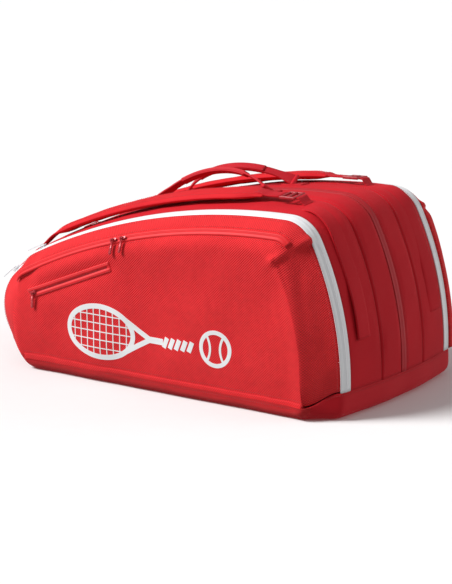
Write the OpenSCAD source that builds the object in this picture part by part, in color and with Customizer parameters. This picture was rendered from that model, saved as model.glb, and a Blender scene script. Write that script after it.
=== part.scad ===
/* [Bag body] */
// Overall length of the bag, narrow end to wide end
bag_len = 736; // [730:1:880]
// Overall width over the two side panels
bag_w = 410; // [400:1:490]
// Height of the zip line above the ground, at its highest point
zip_h = 313; // [300:1:370]
// How much higher the middle of the top is than the two zip lines
crown = 12; // [6:1:14]
// Height of the centre of the rounded narrow end
nose_h = 96.6; // [92:0.2:104]
// Radius of the leaning arc at the wide end
end_r = 500; // [450:1:700]
// Height at which the wide end bulges furthest
bulge_z = 50; // [30:1:70]
// Radius between the top and the wide end
corner_r = 58; // [56:1:70]
// Radius of the rounded narrow end
nose_r = 80; // [72:1:90]
// Lean of the underside of the narrow end, in degrees
nose_lean = 35; // [25:1:40]
// How far the corners of the narrow end are rounded back
nose_taper = 24; // [0:1:30]
// Distance from a zip line to the outside of the side panel beside it
edge_w = 45; // [38:1:46]
// Thickness of an outer fabric wall with its foam
wall = 3; // [2:0.5:4]
// Thickness of the lining
lining_t = 1.6; // [1:0.2:2]
// Distance between the two padded dividers, which is the width of the middle gusset
middle_w = 130; // [110:1:150]
// Thickness of a padded divider
divider_t = 6; // [4:1:8]
// Height of the base boot at the two ends
boot_h = 45; // [38:1:60]
// Height of the base boot along the two sides
boot_side_h = 22; // [18:1:28]
// Thickness of the stiff board in the base
board_t = 4; // [3:1:6]

/* [Zips] */
// Visible width of a white zip tape, both halves together
tape_w = 25; // [20:1:28]
// Width of the centre zip and of the pocket zips
small_tape_w = 12; // [10:1:14]
// Thickness of a zip tape
tape_t = 1.4; // [1:0.2:2]
// Length of a slider
slider_len = 13; // [10:1:15]
// Length of a pull on a main zip
pull_len = 32; // [24:1:36]
// Length of a pull on a pocket zip
pocket_pull_len = 26; // [18:1:30]
// Length of the slanted small pocket
small_pocket_len = 186; // [140:1:200]

/* [Straps and handles] */
// Length of a shoulder strap pad
strap_len = 440; // [380:1:480]
// Width of a shoulder strap pad
strap_w = 58; // [48:1:60]
// Thickness of a shoulder strap pad
strap_t = 14; // [10:1:16]
// Height of the pad above the gusset below it
strap_lift = 5; // [4:1:8]
// Width of the strap webbing
webbing_w = 25; // [20:1:30]
// Thickness of webbing
webbing_t = 3; // [2:0.5:4]
// Height of a carry handle above the line through its ends
handle_rise = 48; // [44:1:60]
// Distance between the two ends of a carry handle
handle_span = 222; // [190:1:240]
// Width of the handle webbing
handle_w = 24; // [20:1:26]
// Inward lean of a carry handle at rest, in degrees
handle_lean = 30; // [26:1:32]

/* [Hidden] */
$fn = 48;
gap = 0.3;
red = "crimson";
dark_red = "firebrick";
white = "whitesmoke";

// The side view is a chain of tangent arcs in the XZ plane, drawn for the zip line.
half_w = bag_w / 2;
split_y = half_w - edge_w;
line_x = bag_len / 2 - crown;
end_c = [line_x - end_r, bulge_z];
// The long arc along the top has its crest at top_x and runs tangent into the narrow end.
top_x = bag_len * 0.326;
nose_c = [nose_r - line_x, nose_h];
drop = zip_h - nose_h;
top_r = (pow(top_x - nose_c.x, 2) + drop * drop - nose_r * nose_r) / (2 * (drop - nose_r));
top_c = [top_x, zip_h - top_r];
function arc_deg(len) = len / top_r * 180 / PI;
function bearing(from, to) = atan2(to.y - from.y, to.x - from.x);
function circle_meet(a, ra, b, rb) =
  let (d = norm(b - a), u = (b - a) / d, m = (ra * ra - rb * rb + d * d) / (2 * d))
  a + u * m + [-u.y, u.x] * sqrt(ra * ra - m * m);
corner_c = circle_meet(end_c, end_r - corner_r, top_c, top_r - corner_r);
end_a = bearing(end_c, corner_c);
top_a = bearing(top_c, corner_c);
nose_a = bearing(top_c, nose_c);
low_a = 180 + nose_lean;

// Across the bag the surface is a shallow crown, then a round edge, then the flat side panel.
tilt = atan(2 * crown / split_y);
edge_r = edge_w / (1 - sin(tilt));
side_v = split_y + edge_r * (90 - tilt) * PI / 180;
divider_y = middle_w / 2;
inner_edge = split_y - tape_w / 2;
outer_edge = split_y + tape_w / 2;
pocket_d = tape_t + 3 * gap;
pouch_t = 8;
floor_t = 3;
board_z = floor_t + gap;
slit = 2.5;
cover_z = boot_side_h + slit;

// A frame is [point on the zip line, outward direction], both in the XZ plane.
function arc_frame(c, r, a) = [c + r * [cos(a), sin(a)], [cos(a), sin(a)]];
function steps(a, b, n) = [for (i = [0:n]) a + (b - a) * i / n];
function end_angle(z) = asin((z - bulge_z) / end_r);
function end_frames(z, n) = [for (a = steps(end_angle(z), end_a, n)) arc_frame(end_c, end_r, a)];
function corner_frames(n) = [for (a = steps(end_a, top_a, n)) arc_frame(corner_c, corner_r, a)];
function top_frames(a, b, n) = [for (t = steps(a, b, n)) arc_frame(top_c, top_r, t)];
function nose_frames(a, b, n) = [for (t = steps(a, b, n)) arc_frame(nose_c, nose_r, t)];
function skip_first(list) = [for (i = [1:len(list) - 1]) list[i]];
// The first and last frames are level cuts at height z through the wide and the narrow end.
function loop_frames(z) = concat([["wide", z]], skip_first(end_frames(z, 9)),
  skip_first(corner_frames(5)), skip_first(top_frames(top_a, nose_a, 10)),
  skip_first(nose_frames(nose_a, low_a - 12, 7)), [["narrow", z]]);

// Across position v runs from the middle plane to the side panel: [outward, sideways, tilt].
function across(v) = v < split_y
  ? [crown * (1 - pow(v / split_y, 2)), v, atan(2 * crown * v / pow(split_y, 2))]
  : let (t = min(90, tilt + (v - split_y) / edge_r * 180 / PI))
    [edge_r * (cos(t) - cos(tilt)), split_y + edge_r * (sin(t) - sin(tilt)), t];
// The corners of the narrow end are pushed back towards the wide end.
function eased(t) = let (c = max(0, min(1, t))) c * c * (3 - 2 * c);
function tapered(p) =
  [p.x + nose_taper * pow(p.y / split_y, 2) * eased((-0.35 * bag_len - p.x) / 70), p.y, p.z];
// Where the wide and the narrow end stand at height z, moved outwards by out.
function wide_x(z, out) = end_c.x + sqrt(pow(end_r + out, 2) - pow(z - bulge_z, 2));
low_start = nose_c + nose_r * [cos(low_a), sin(low_a)];
function narrow_x(z, out) = low_start.x + (low_start.y - z) * tan(nose_lean) - out / cos(nose_lean);
// Point of the front half of the bag on frame f, at across position v and depth d.
function skin(f, v, d) =
  let (s = across(v), out = s[0] - d * cos(s[2]), y = -(s[1] - d * sin(s[2])))
  f[0] == "wide" ? [wide_x(f[1], out), y, f[1]]
  : f[0] == "narrow" ? tapered([narrow_x(f[1], out), y, f[1]])
  : let (q = f[0] + f[1] * out) tapered([q.x, y, q.y]);
// Point of the flat side panel, a share t of the way from its top edge down to height z.
function side_point(f, t, d, z, i, n) =
  let (p = skin(f, side_v, d), left = skin(["narrow", z], side_v, d).x + 20,
    right = skin(["wide", z], side_v, d).x - 20, low_x = right + (left - right) * i / (n - 1))
  [p.x + (low_x - p.x) * t, p.y, p.z + (z - p.z) * t];

// Closed solid between an outer and an inner grid of points, rows by columns.
function quad(a, b, c, d, flip) = flip ? [[a, b, d], [b, c, d]] : [[a, b, c], [a, c, d]];
module slab(outer, inner) {
  rows = len(outer);
  cols = len(outer[0]);
  last = cols - 1;
  end = rows - 1;
  function at(k, r, c) = k * rows * cols + r * cols + c;
  polyhedron(
    points = concat([for (row = outer) each row], [for (row = inner) each row]),
    faces = concat(
      [for (r = [0:end - 1], c = [0:last - 1], flip = [r < end / 2])
        each concat(quad(at(0, r, c), at(0, r, c + 1), at(0, r + 1, c + 1), at(0, r + 1, c), flip),
          quad(at(1, r, c), at(1, r + 1, c), at(1, r + 1, c + 1), at(1, r, c + 1), flip))],
      [for (r = [0:end - 1])
        each concat(quad(at(0, r, 0), at(0, r + 1, 0), at(1, r + 1, 0), at(1, r, 0), false),
          quad(at(0, r, last), at(1, r, last), at(1, r + 1, last), at(0, r + 1, last), false))],
      [for (c = [0:last - 1])
        each concat(quad(at(0, 0, c), at(1, 0, c), at(1, 0, c + 1), at(0, 0, c + 1), false),
          quad(at(0, end, c), at(0, end, c + 1), at(1, end, c + 1), at(1, end, c), false))]));
}
// Strip of fabric along the given frames, between two across positions and two depths.
module strip(frames, v0, v1, d0, d1, cols = 2) {
  vs = steps(v0, v1, cols);
  slab([for (f = frames) [for (v = vs) skin(f, v, d0)]],
    [for (f = frames) [for (v = vs) skin(f, v, d1)]]);
}
// Rounded edge and flat side panel in one piece, down to height z.
module side_cover(v0, d0, d1, z) {
  frames = loop_frames(z);
  n = len(frames);
  slab(
    [for (i = [0:n - 1]) concat([for (v = steps(v0, side_v, 4)) skin(frames[i], v, d0)],
      [for (t = [1 / 3, 2 / 3, 1]) side_point(frames[i], t, d0, z, i, n)])],
    [for (i = [0:n - 1]) concat([for (v = steps(v0, side_v, 4)) skin(frames[i], v, d1)],
      [for (t = [1 / 3, 2 / 3, 1]) side_point(frames[i], t, d1, z, i, n)])]);
}
module to_rear() { mirror([0, 1, 0]) children(); }

// Plan of the base at height z, drawn inwards by d: wide end, side, narrow end, other side.
bottom_r = 16;
function bottom_inset(z) = z < bottom_r ? bottom_r - sqrt(pow(bottom_r, 2) - pow(bottom_r - z, 2)) : 0;
base_vs = concat(steps(0, outer_edge, 4), steps(outer_edge + gap, side_v, 4));
function base_top(v) = v > outer_edge + gap / 2 ? boot_side_h : boot_h;
// Half of the plan, a share t of the way up the boot, or at one height where t is negative.
function half_plan(t, d, at_z = 0) =
  let (ends = ["wide", "narrow"], last = len(base_vs) - 1)
  [for (k = [0, 1], i = [0:last])
    let (v = base_vs[k == 0 ? i : last - i],
      z = t < 0 ? at_z : max(t * base_top(v), d > 0 ? floor_t : 0))
    skin([ends[k], z], v, d + bottom_inset(z))];
function plan(t, d, at_z = 0) =
  let (front = half_plan(t, d, at_z), n = len(front))
  concat(front, [for (i = [n - 2:-1:1]) [front[i].x, -front[i].y, front[i].z]]);

// Two triangles of a flat floor, between plan points c and c + 1 and their mirror images.
function cap(c, n) =
  let (e = c + 1, far_c = (n - c) % n, far_e = (n - e) % n)
  concat(c == 0 ? [] : [[c, e, far_c]], e == n / 2 ? [] : [[e, far_e, far_c]]);

module base_boot() {
  levels = [0, 0.15, 0.35, 0.65, 1];
  rings = concat([for (t = levels) plan(t, 0)],
    [for (i = [len(levels) - 1:-1:0]) plan(levels[i], wall)]);
  n = len(rings[0]);
  m = len(rings);
  color(red) polyhedron(
    points = [for (ring = rings) each ring],
    faces = concat(
      [for (r = [0:m - 2], c = [0:n - 1]) let (e = (c + 1) % n)
        each [[r * n + c, (r + 1) * n + e, r * n + e], [r * n + c, (r + 1) * n + c, (r + 1) * n + e]]],
      [for (c = [0:n / 2 - 1], t = cap(c, n)) t],
      [for (c = [0:n / 2 - 1], t = cap(c, n)) [for (k = [2:-1:0]) (m - 1) * n + t[k]]]));
}
module base_board() {
  color("dimgray") translate([0, 0, board_z]) linear_extrude(board_t)
    polygon([for (p = plan(-1, wall + 1, board_z)) [p.x, p.y]]);
}
module front_gusset() {
  color(dark_red) strip(loop_frames(boot_h + gap), divider_y + gap, inner_edge - gap, 0, wall);
}
module middle_half() {
  color(red) strip(loop_frames(boot_h + gap), small_tape_w / 2 + gap, divider_y - gap, 0, wall);
}
module centre_half_tape() {
  color(red) strip(loop_frames(boot_h + gap), gap / 2, small_tape_w / 2, 0, tape_t, 1);
}
module inner_tape() {
  color(white) strip(loop_frames(boot_h + gap), inner_edge, split_y - gap / 2, 0, tape_t, 1);
}
module outer_tape() {
  color(white) strip(loop_frames(boot_h + gap), split_y + gap / 2, outer_edge, 0, tape_t, 1);
}
module front_panel() { color(red) side_cover(outer_edge + gap, 0, wall, cover_z); }
module front_lining() {
  color("dimgray") side_cover(outer_edge + gap, wall + gap, wall + gap + lining_t, cover_z);
}
// Padded wall between two compartments: the side view, cut back inside the gussets.
module divider() {
  floor_z = board_z + board_t + gap;
  color("dimgray") translate([0, -divider_y, 0]) rotate([90, 0, 0]) linear_extrude(divider_t)
    polygon([for (f = loop_frames(floor_z)) let (p = skin(f, divider_y + divider_t, wall + 4)) [p.x, p.z]]);
}
// Fold of spare fabric that lets the gusset open wider; it hangs down the wide end.
flap_v = divider_y + 28;
flap_w = 36;
flap_low_z = 122;
module pleat_flap() {
  frames = concat(end_frames(flap_low_z, 7), skip_first(corner_frames(5)));
  color(dark_red) strip(frames, flap_v, flap_v + flap_w, -wall, -2 * gap);
}

// Places children on a frame: X runs forward along the zip line, Z points outwards.
module on_frame(f, v, d = 0, twist = 0) {
  translate(skin(f, v, d)) rotate([0, 90 - atan2(f[1].y, f[1].x), 0])
    rotate([across(v)[2] + twist, 0, 0]) children();
}
// Slider body: a plate clear above the tapes, with a foot on the fixed half of the zip.
slider_w = 11;
slider_t = 3;
slider_lift = 2.2;
module slider_body() {
  translate([-slider_len / 2, -slider_w / 2, slider_lift]) cube([slider_len, slider_w, slider_t]);
  translate([-slider_len / 2 + 2, 0.6, gap])
    cube([slider_len - 4, slider_w / 2 - 0.6, slider_lift]);
}
bail_z = slider_lift + slider_t + 1.2;
module pull_bar(length) {
  translate([-length, -2.5, -0.8]) cube([length, 5, 1.6]);
  translate([-length, 0, -0.8]) cylinder(h = 1.6, r = 2.5);
  translate([0, 2.5, 0]) rotate([90, 0, 0]) cylinder(h = 5, r = 0.8);
}
// Rest places of the sliders: an angle about the centre of the arc that each one follows.
top_slider_a = bearing(top_c, [-0.333 * bag_len, 0.636 * zip_h]);
nose_slider_a = 130;
pocket_v = split_y + edge_r * (60 - tilt) * PI / 180;
pocket_slider_as = [bearing(top_c, [-0.092 * bag_len, 0.8 * zip_h]),
  bearing(top_c, [-0.064 * bag_len, 0.8 * zip_h])];
function top_frame(a) = arc_frame(top_c, top_r, a);
function nose_frame(a) = arc_frame(nose_c, nose_r, a);
// The taper of the narrow end turns the zip sideways, so the sliders there lean with it.
nose_twist = atan(2 * nose_taper / split_y) - 1.5;
module main_slider(f, v, tint, twist = 0) { color(tint) on_frame(f, v, 0, twist) slider_body(); }
module main_pull(f, v, tint, twist = 0) {
  color(tint) on_frame(f, v, 0, twist) translate([0, 0, bail_z]) pull_bar(pull_len);
}
module pocket_slider(a) {
  color(red) on_frame(top_frame(a), pocket_v, -pocket_d - gap)
    translate([-slider_len / 2, -2.5, 0]) cube([slider_len, 5, slider_t]);
}
pocket_bail = pocket_d + gap + slider_t + 1.6;
pocket_pull_lean = 18;
module pocket_pull(a) {
  color(red) translate(skin(top_frame(a), pocket_v, -pocket_bail)) rotate([-pocket_pull_lean, 0, 0])
    hanging_pull();
}
module hanging_pull() {
  rotate([0, -90, 90]) pull_bar(pocket_pull_len);
}

// Pocket in the upper edge of the side panel, and the pouch behind it.
pocket_a0 = top_a + arc_deg(39);
pocket_a1 = nose_a - arc_deg(20);
module pocket_zip() {
  color(red) strip(top_frames(pocket_a0, pocket_a1, 10), pocket_v - small_tape_w / 2,
    pocket_v + small_tape_w / 2, -pocket_d, -3 * gap, 2);
}
module pocket_pouch() {
  w = 0.46 * bag_len;
  h = 0.36 * zip_h;
  y = half_w - wall - lining_t - 3 * gap;
  color("dimgray") translate([-w / 2, -y, 0.2 * zip_h]) cube([w, pouch_t, h]);
}
// Small slanted pocket near the narrow end of the front panel.
small_slant = 22;
small_at = [-0.33 * bag_len, 0.42 * zip_h];
module on_slant(y) {
  translate([small_at.x, -y, small_at.y]) rotate([90, -small_slant, 0]) children();
}
module small_pocket_zip() {
  color(red) on_slant(half_w + gap) difference() {
    translate([0, -7, 0]) cube([small_pocket_len, 14, tape_t]);
    translate([5, -2, tape_t / 2]) cube([small_pocket_len - 10, 4, tape_t]);
  }
}
module small_pocket_pouch() {
  y = half_w - wall - lining_t - pouch_t - 5 * gap;
  color("dimgray") on_slant(y)
    translate([10, -0.34 * zip_h, -2]) cube([small_pocket_len - 30, 0.3 * zip_h, 2]);
}
small_rest = 12;
module small_pocket_slider() {
  color(red) on_slant(half_w + tape_t + 2 * gap) translate([small_rest - 5, -3.5, 0])
    cube([slider_len - 2, 7, 3]);
}
function small_bail() = [small_at.x + small_rest * cos(small_slant), -half_w - tape_t - 5,
  small_at.y + small_rest * sin(small_slant)];
module small_pocket_pull() { color(red) translate(small_bail()) hanging_pull(); }

// Carry handle: a flat webbing arch whose two ends turn on the line through them.
handle_y = 41;
handle_hub_r = 4.5;
handle_tab_t = 3;
handle_clear = handle_tab_t + handle_hub_r + 2 * gap;
handle_half_a = asin(handle_span / 2 / (top_r + handle_clear));
handle_mid_a = bearing(top_c, [0.024 * bag_len, zip_h]);
function handle_end(s) = skin(top_frame(handle_mid_a + s * handle_half_a), handle_y, -handle_clear);
handle_tilt = atan2(handle_end(-1).z - handle_end(1).z, handle_end(-1).x - handle_end(1).x);
arch_r = (pow(handle_span / 2, 2) + pow(handle_rise, 2)) / (2 * handle_rise);
arch_half_a = asin(handle_span / 2 / arch_r);
module front_handle() {
  mid = (handle_end(-1) + handle_end(1)) / 2;
  cut = 5;
  color(red) translate(mid) rotate([0, -handle_tilt, 0]) rotate([-handle_lean, 0, 0])
    rotate([90, 0, 0]) translate([0, handle_rise - arch_r, 0]) {
      rotate([0, 0, 90 - arch_half_a + cut]) rotate_extrude(angle = 2 * (arch_half_a - cut), $fn = 96)
        translate([arch_r - webbing_t / 2, -handle_w / 2]) square([webbing_t, handle_w]);
      for (s = [-1, 1]) rotate([0, 0, 90 + s * arch_half_a]) translate([arch_r, 0, 0])
        rotate([s * 90, 0, 0]) cylinder(h = 14, r = handle_hub_r);
      for (s = [-1, 1]) rotate([0, 0, 90 + s * arch_half_a]) translate([arch_r, 0, 0])
        sphere(handle_hub_r);
    }
}
module front_handle_tabs() {
  for (s = [-1, 1]) color(red) on_frame(top_frame(handle_mid_a + s * handle_half_a), handle_y)
    translate([-20, -handle_w / 2, gap]) cube([40, handle_w, handle_tab_t]);
}

// Shoulder strap: a padded arch over the gusset, with webbing and a buckle at its ends.
strap_v = 95;
strap_mid_a = acos((-0.067 * bag_len - top_c.x) / top_r);
strap_as = [strap_mid_a - arc_deg(strap_len / 2), strap_mid_a + arc_deg(strap_len / 2)];
webbing_d = strap_lift + strap_t / 2;
left_anchor_a = nose_a - arc_deg(14);
buckle_a = strap_as[0] - arc_deg(30.4);
buckle_len = 30;
right_anchor_a = buckle_a - arc_deg(buckle_len);
function anchor_point(a) = skin(top_frame(a), strap_v, -webbing_d);
module strap_web(a, b, d, n) {
  color(red) strip(top_frames(a, b, n), strap_v - webbing_w / 2, strap_v + webbing_w / 2,
    -d - webbing_t / 2, -d + webbing_t / 2, 1);
}
module front_strap_pad() {
  color(red) strip(top_frames(strap_as[0], strap_as[1], 8), strap_v - strap_w / 2,
    strap_v + strap_w / 2, -strap_lift - strap_t, -strap_lift, 2);
}
module front_strap_webbing() {
  strap_web(strap_as[1] + arc_deg(0.4), left_anchor_a, webbing_d, 4);
  strap_web(buckle_a + arc_deg(0.4), strap_as[0] - arc_deg(0.4), webbing_d, 1);
}
module front_strap_anchors() {
  half = webbing_w / 2;
  color(red) strip(top_frames(left_anchor_a + arc_deg(0.6), nose_a, 1), strap_v - half, strap_v + half,
    -webbing_d - webbing_t / 2, -gap, 1);
  color(red) strip(top_frames(right_anchor_a - arc_deg(15.7), right_anchor_a - arc_deg(0.6), 1), strap_v - half,
    strap_v + half, -webbing_d - webbing_t / 2, -gap, 1);
}
module front_buckle() {
  w = webbing_w + 9;
  t = 5;
  color("maroon") on_frame(top_frame(buckle_a), strap_v, -webbing_d)
    translate([0.55, -w / 2, -t / 2]) difference() {
      cube([buckle_len - 0.9, w, t]);
      for (x = [5, 17]) translate([x, 4, -1]) cube([8, w - 8, t + 2]);
    }
}

base_boot();
base_board();
front_gusset();
to_rear() front_gusset();  // rear_gusset
middle_half();  // middle_gusset_front
to_rear() middle_half();  // middle_gusset_rear
centre_half_tape();  // centre_zip_front_tape
to_rear() centre_half_tape();  // centre_zip_rear_tape
divider();  // front_divider
to_rear() divider();  // rear_divider
inner_tape();  // front_inner_tape
to_rear() inner_tape();  // rear_inner_tape
pleat_flap();  // front_pleat_flap
to_rear() pleat_flap();  // rear_pleat_flap
front_strap_anchors();
to_rear() front_strap_anchors();  // rear_strap_anchors
front_handle_tabs();
to_rear() front_handle_tabs();  // rear_handle_tabs
front_panel();
front_lining();
outer_tape();  // front_outer_tape
pocket_zip();  // front_pocket_zip
pocket_pouch();  // front_pocket_pouch
small_pocket_zip();
small_pocket_pouch();
to_rear() front_panel();  // rear_panel
to_rear() front_lining();  // rear_lining
to_rear() outer_tape();  // rear_outer_tape
to_rear() pocket_zip();  // rear_pocket_zip
to_rear() pocket_pouch();  // rear_pocket_pouch
main_slider(top_frame(top_slider_a), split_y, white);  // front_top_slider
main_pull(top_frame(top_slider_a), split_y, white);  // front_top_pull
main_slider(nose_frame(nose_slider_a), split_y, white, nose_twist);  // front_nose_slider
main_pull(nose_frame(nose_slider_a), split_y, white, nose_twist);  // front_nose_pull
to_rear() main_slider(top_frame(top_slider_a), split_y, white);  // rear_top_slider
to_rear() main_pull(top_frame(top_slider_a), split_y, white);  // rear_top_pull
to_rear() main_slider(nose_frame(nose_slider_a), split_y, white, nose_twist);  // rear_nose_slider
to_rear() main_pull(nose_frame(nose_slider_a), split_y, white, nose_twist);  // rear_nose_pull
main_slider(top_frame(top_slider_a), 0, red);  // centre_top_slider
main_pull(top_frame(top_slider_a), 0, red);  // centre_top_pull
main_slider(nose_frame(nose_slider_a), 0, red);  // centre_nose_slider
main_pull(nose_frame(nose_slider_a), 0, red);  // centre_nose_pull
pocket_slider(pocket_slider_as[0]);  // front_pocket_slider_left
pocket_pull(pocket_slider_as[0]);  // front_pocket_pull_left
pocket_slider(pocket_slider_as[1]);  // front_pocket_slider_right
pocket_pull(pocket_slider_as[1]);  // front_pocket_pull_right
small_pocket_slider();
small_pocket_pull();
to_rear() pocket_slider(pocket_slider_as[0]);  // rear_pocket_slider
to_rear() pocket_pull(pocket_slider_as[0]);  // rear_pocket_pull
front_handle();
to_rear() front_handle();  // rear_handle
front_strap_pad();
to_rear() front_strap_pad();  // rear_strap_pad
front_strap_webbing();
to_rear() front_strap_webbing();  // rear_strap_webbing
front_buckle();
to_rear() front_buckle();  // rear_buckle
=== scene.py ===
"""Racket tournament bag: fabric shell, zips, webbing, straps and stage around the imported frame."""
import math

import bpy
import bmesh
import numpy as np
from mathutils import Matrix, Vector


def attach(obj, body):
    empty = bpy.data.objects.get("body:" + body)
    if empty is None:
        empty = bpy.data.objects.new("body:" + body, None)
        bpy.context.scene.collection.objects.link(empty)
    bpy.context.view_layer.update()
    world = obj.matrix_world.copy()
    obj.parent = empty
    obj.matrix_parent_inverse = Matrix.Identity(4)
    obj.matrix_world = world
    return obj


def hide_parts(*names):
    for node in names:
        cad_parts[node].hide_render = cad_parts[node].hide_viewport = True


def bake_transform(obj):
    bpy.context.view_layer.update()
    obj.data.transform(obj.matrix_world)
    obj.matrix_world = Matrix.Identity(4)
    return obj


bl_info = {
    "name": "Racket Bag",
    "version": (1, 0, 0),
    "blender": (4, 5, 0),
    "location": "View3D > Sidebar > Racket Bag",
    "description": "Builds the visible pieces of a three-compartment racket bag",
    "category": "Object",
}

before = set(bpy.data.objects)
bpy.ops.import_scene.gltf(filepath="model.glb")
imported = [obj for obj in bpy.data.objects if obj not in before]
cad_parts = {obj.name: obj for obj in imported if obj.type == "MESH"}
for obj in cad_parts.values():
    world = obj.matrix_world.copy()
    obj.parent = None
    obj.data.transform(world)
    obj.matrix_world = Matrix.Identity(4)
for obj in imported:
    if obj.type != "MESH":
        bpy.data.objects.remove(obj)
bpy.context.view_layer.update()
LEVEL_TOP = 0.100    # below this height the fabric is measured straight up, not along the arcs
SEAM_Z = 0.0453      # height of the seam between the boot and the fabric above it
CLEAR = 0.0003       # room between pieces sewn side by side
PULL_W, PULL_T = 0.0052, 0.0018
FRONT_SEED, REAR_SEED = 11, 29


# ------------------------------------------------------------------ settings
def length(name, text, value):
    return bpy.props.FloatProperty(name=name, description=text, default=value,
                                   subtype="DISTANCE", unit="LENGTH")


def turn(name, text, degrees):
    return bpy.props.FloatProperty(name=name, description=text, default=math.radians(degrees),
                                   subtype="ANGLE")


def colour(name, text, value):
    return bpy.props.FloatVectorProperty(name=name, description=text, default=value, size=3, min=0, max=1,
                                         subtype="COLOR")


class BagSizes(bpy.types.PropertyGroup):
    """Sizes of the bag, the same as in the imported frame."""
    bag_len: length("Bag length", "Overall length, narrow end to wide end", 0.736)
    bag_w: length("Bag width", "Overall width over the two side panels", 0.410)
    zip_h: length("Zip height", "Height of the zip line at its highest point", 0.313)
    crown: length("Crown", "How much higher the middle of the top is than the zip lines", 0.012)
    top_r: length("Top radius", "Radius of the long arc along the top", 1.124)
    end_r: length("End radius", "Radius of the leaning arc at the wide end", 0.5)
    bulge_z: length("Bulge height", "Height at which the wide end bulges furthest", 0.050)
    corner_r: length("Corner radius", "Radius between the top and the wide end", 0.058)
    nose_r: length("Narrow end radius", "Radius of the rounded narrow end", 0.080)
    nose_lean: turn("Narrow end lean", "Lean of the underside of the narrow end", 35)
    nose_taper: length("Narrow end taper", "How far the corners of the narrow end are rounded back", 0.024)
    edge_w: length("Edge width", "Distance from a zip line to the outside of the side panel", 0.045)
    middle_w: length("Middle width", "Width of the middle gusset", 0.130)
    boot_h: length("Boot height", "Height of the base boot at the ends", 0.045)
    boot_side_h: length("Boot side height", "Height of the base boot along the sides", 0.022)
    tape_show: length("Zip tape width", "Visible width of a main zip, both halves together", 0.0205)
    small_tape_w: length("Small tape width", "Width of the centre zip and the pocket zips", 0.012)
    slider_len: length("Slider length", "Length of a slider", 0.013)
    pull_len: length("Pull length", "Length of a pull on a main zip", 0.032)
    pocket_pull_len: length("Pocket pull length", "Length of a pull on a pocket zip", 0.026)
    small_pocket_len: length("Small pocket length", "Length of the slanted small pocket", 0.186)
    strap_len: length("Strap length", "Length of a shoulder strap pad", 0.440)
    strap_w: length("Strap width", "Width of a shoulder strap pad", 0.058)
    strap_t: length("Strap thickness", "Thickness of a shoulder strap pad", 0.014)
    webbing_w: length("Webbing width", "Width of the strap webbing", 0.025)
    handle_rise: length("Handle rise", "Height of a carry handle above the line through its ends", 0.042)
    handle_span: length("Handle span", "Distance between the two ends of a carry handle", 0.222)
    handle_w: length("Handle width", "Width of the handle webbing", 0.024)
    handle_lean: turn("Handle lean", "Inward lean of a carry handle at rest", 30)
    puff: length("Panel puff", "How far the middle of the side panel stands out", 0.004)
    ripple: length("Ripple", "Height of the soft waves in the fabric", 0.0016)
    stitch_pitch: length("Stitch pitch", "Distance from one stitch to the next", 0.0042)


class BagColours(bpy.types.PropertyGroup):
    """Colours of the fabrics and trims."""
    panel: colour("Side panel", "Ripstop fabric of the side panels", (0.90, 0.024, 0.030))
    gusset: colour("Gusset", "Plain fabric of the gussets and the boot", (0.62, 0.006, 0.016))
    strap: colour("Strap", "Fabric of the shoulder straps", (0.70, 0.010, 0.018))
    webbing: colour("Webbing", "Webbing of the handles and straps", (0.60, 0.006, 0.018))
    zip_white: colour("White zip", "Coated tape of the main zips", (0.88, 0.88, 0.90))
    zip_red: colour("Red zip", "Coated tape of the pocket zips", (0.78, 0.010, 0.016))
    zip_centre: colour("Centre zip", "Tape of the zip along the middle", (0.48, 0.004, 0.012))
    trim_red: colour("Red trim", "Red sliders and their pulls", (0.45, 0.010, 0.020))
    buckle: colour("Buckle", "Moulded buckles", (0.42, 0.012, 0.022))
    lining: colour("Lining", "Lining, dividers and pouches", (0.030, 0.030, 0.034))
    thread: colour("Thread", "Sewing thread", (0.50, 0.008, 0.016))
    print_white: colour("Print", "Printed mark on the front panel", (0.90, 0.90, 0.91))
    floor: colour("Floor", "Floor under the bag", (0.90, 0.90, 0.90))


# ------------------------------------------------------------------ the shell
def bearing(a, b):
    return math.atan2(b[1] - a[1], b[0] - a[0])


def circle_meet(a, ra, b, rb):
    d = math.dist(a, b)
    ux, uz = (b[0] - a[0]) / d, (b[1] - a[1]) / d
    m = (ra * ra - rb * rb + d * d) / (2 * d)
    h = math.sqrt(ra * ra - m * m)
    return (a[0] + ux * m - uz * h, a[1] + uz * m + ux * h)


def smooth(t):
    t = np.clip(t, 0, 1)
    return t * t * (3 - 2 * t)


def arc_rows(centre, radius, angles):
    """Stations along an arc, for Shell.skin: point, outward normal, share levelled, end sign."""
    c, n = np.cos(angles), np.sin(angles)
    return np.stack([centre[0] + radius * c, centre[1] + radius * n, c, n, 0 * c, np.ones_like(c)], 1)


def run_length(path):
    """Distance covered at each point of a path, starting from 0."""
    return np.concatenate([[0], np.cumsum(np.linalg.norm(np.diff(path, axis=0), axis=1))])


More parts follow.
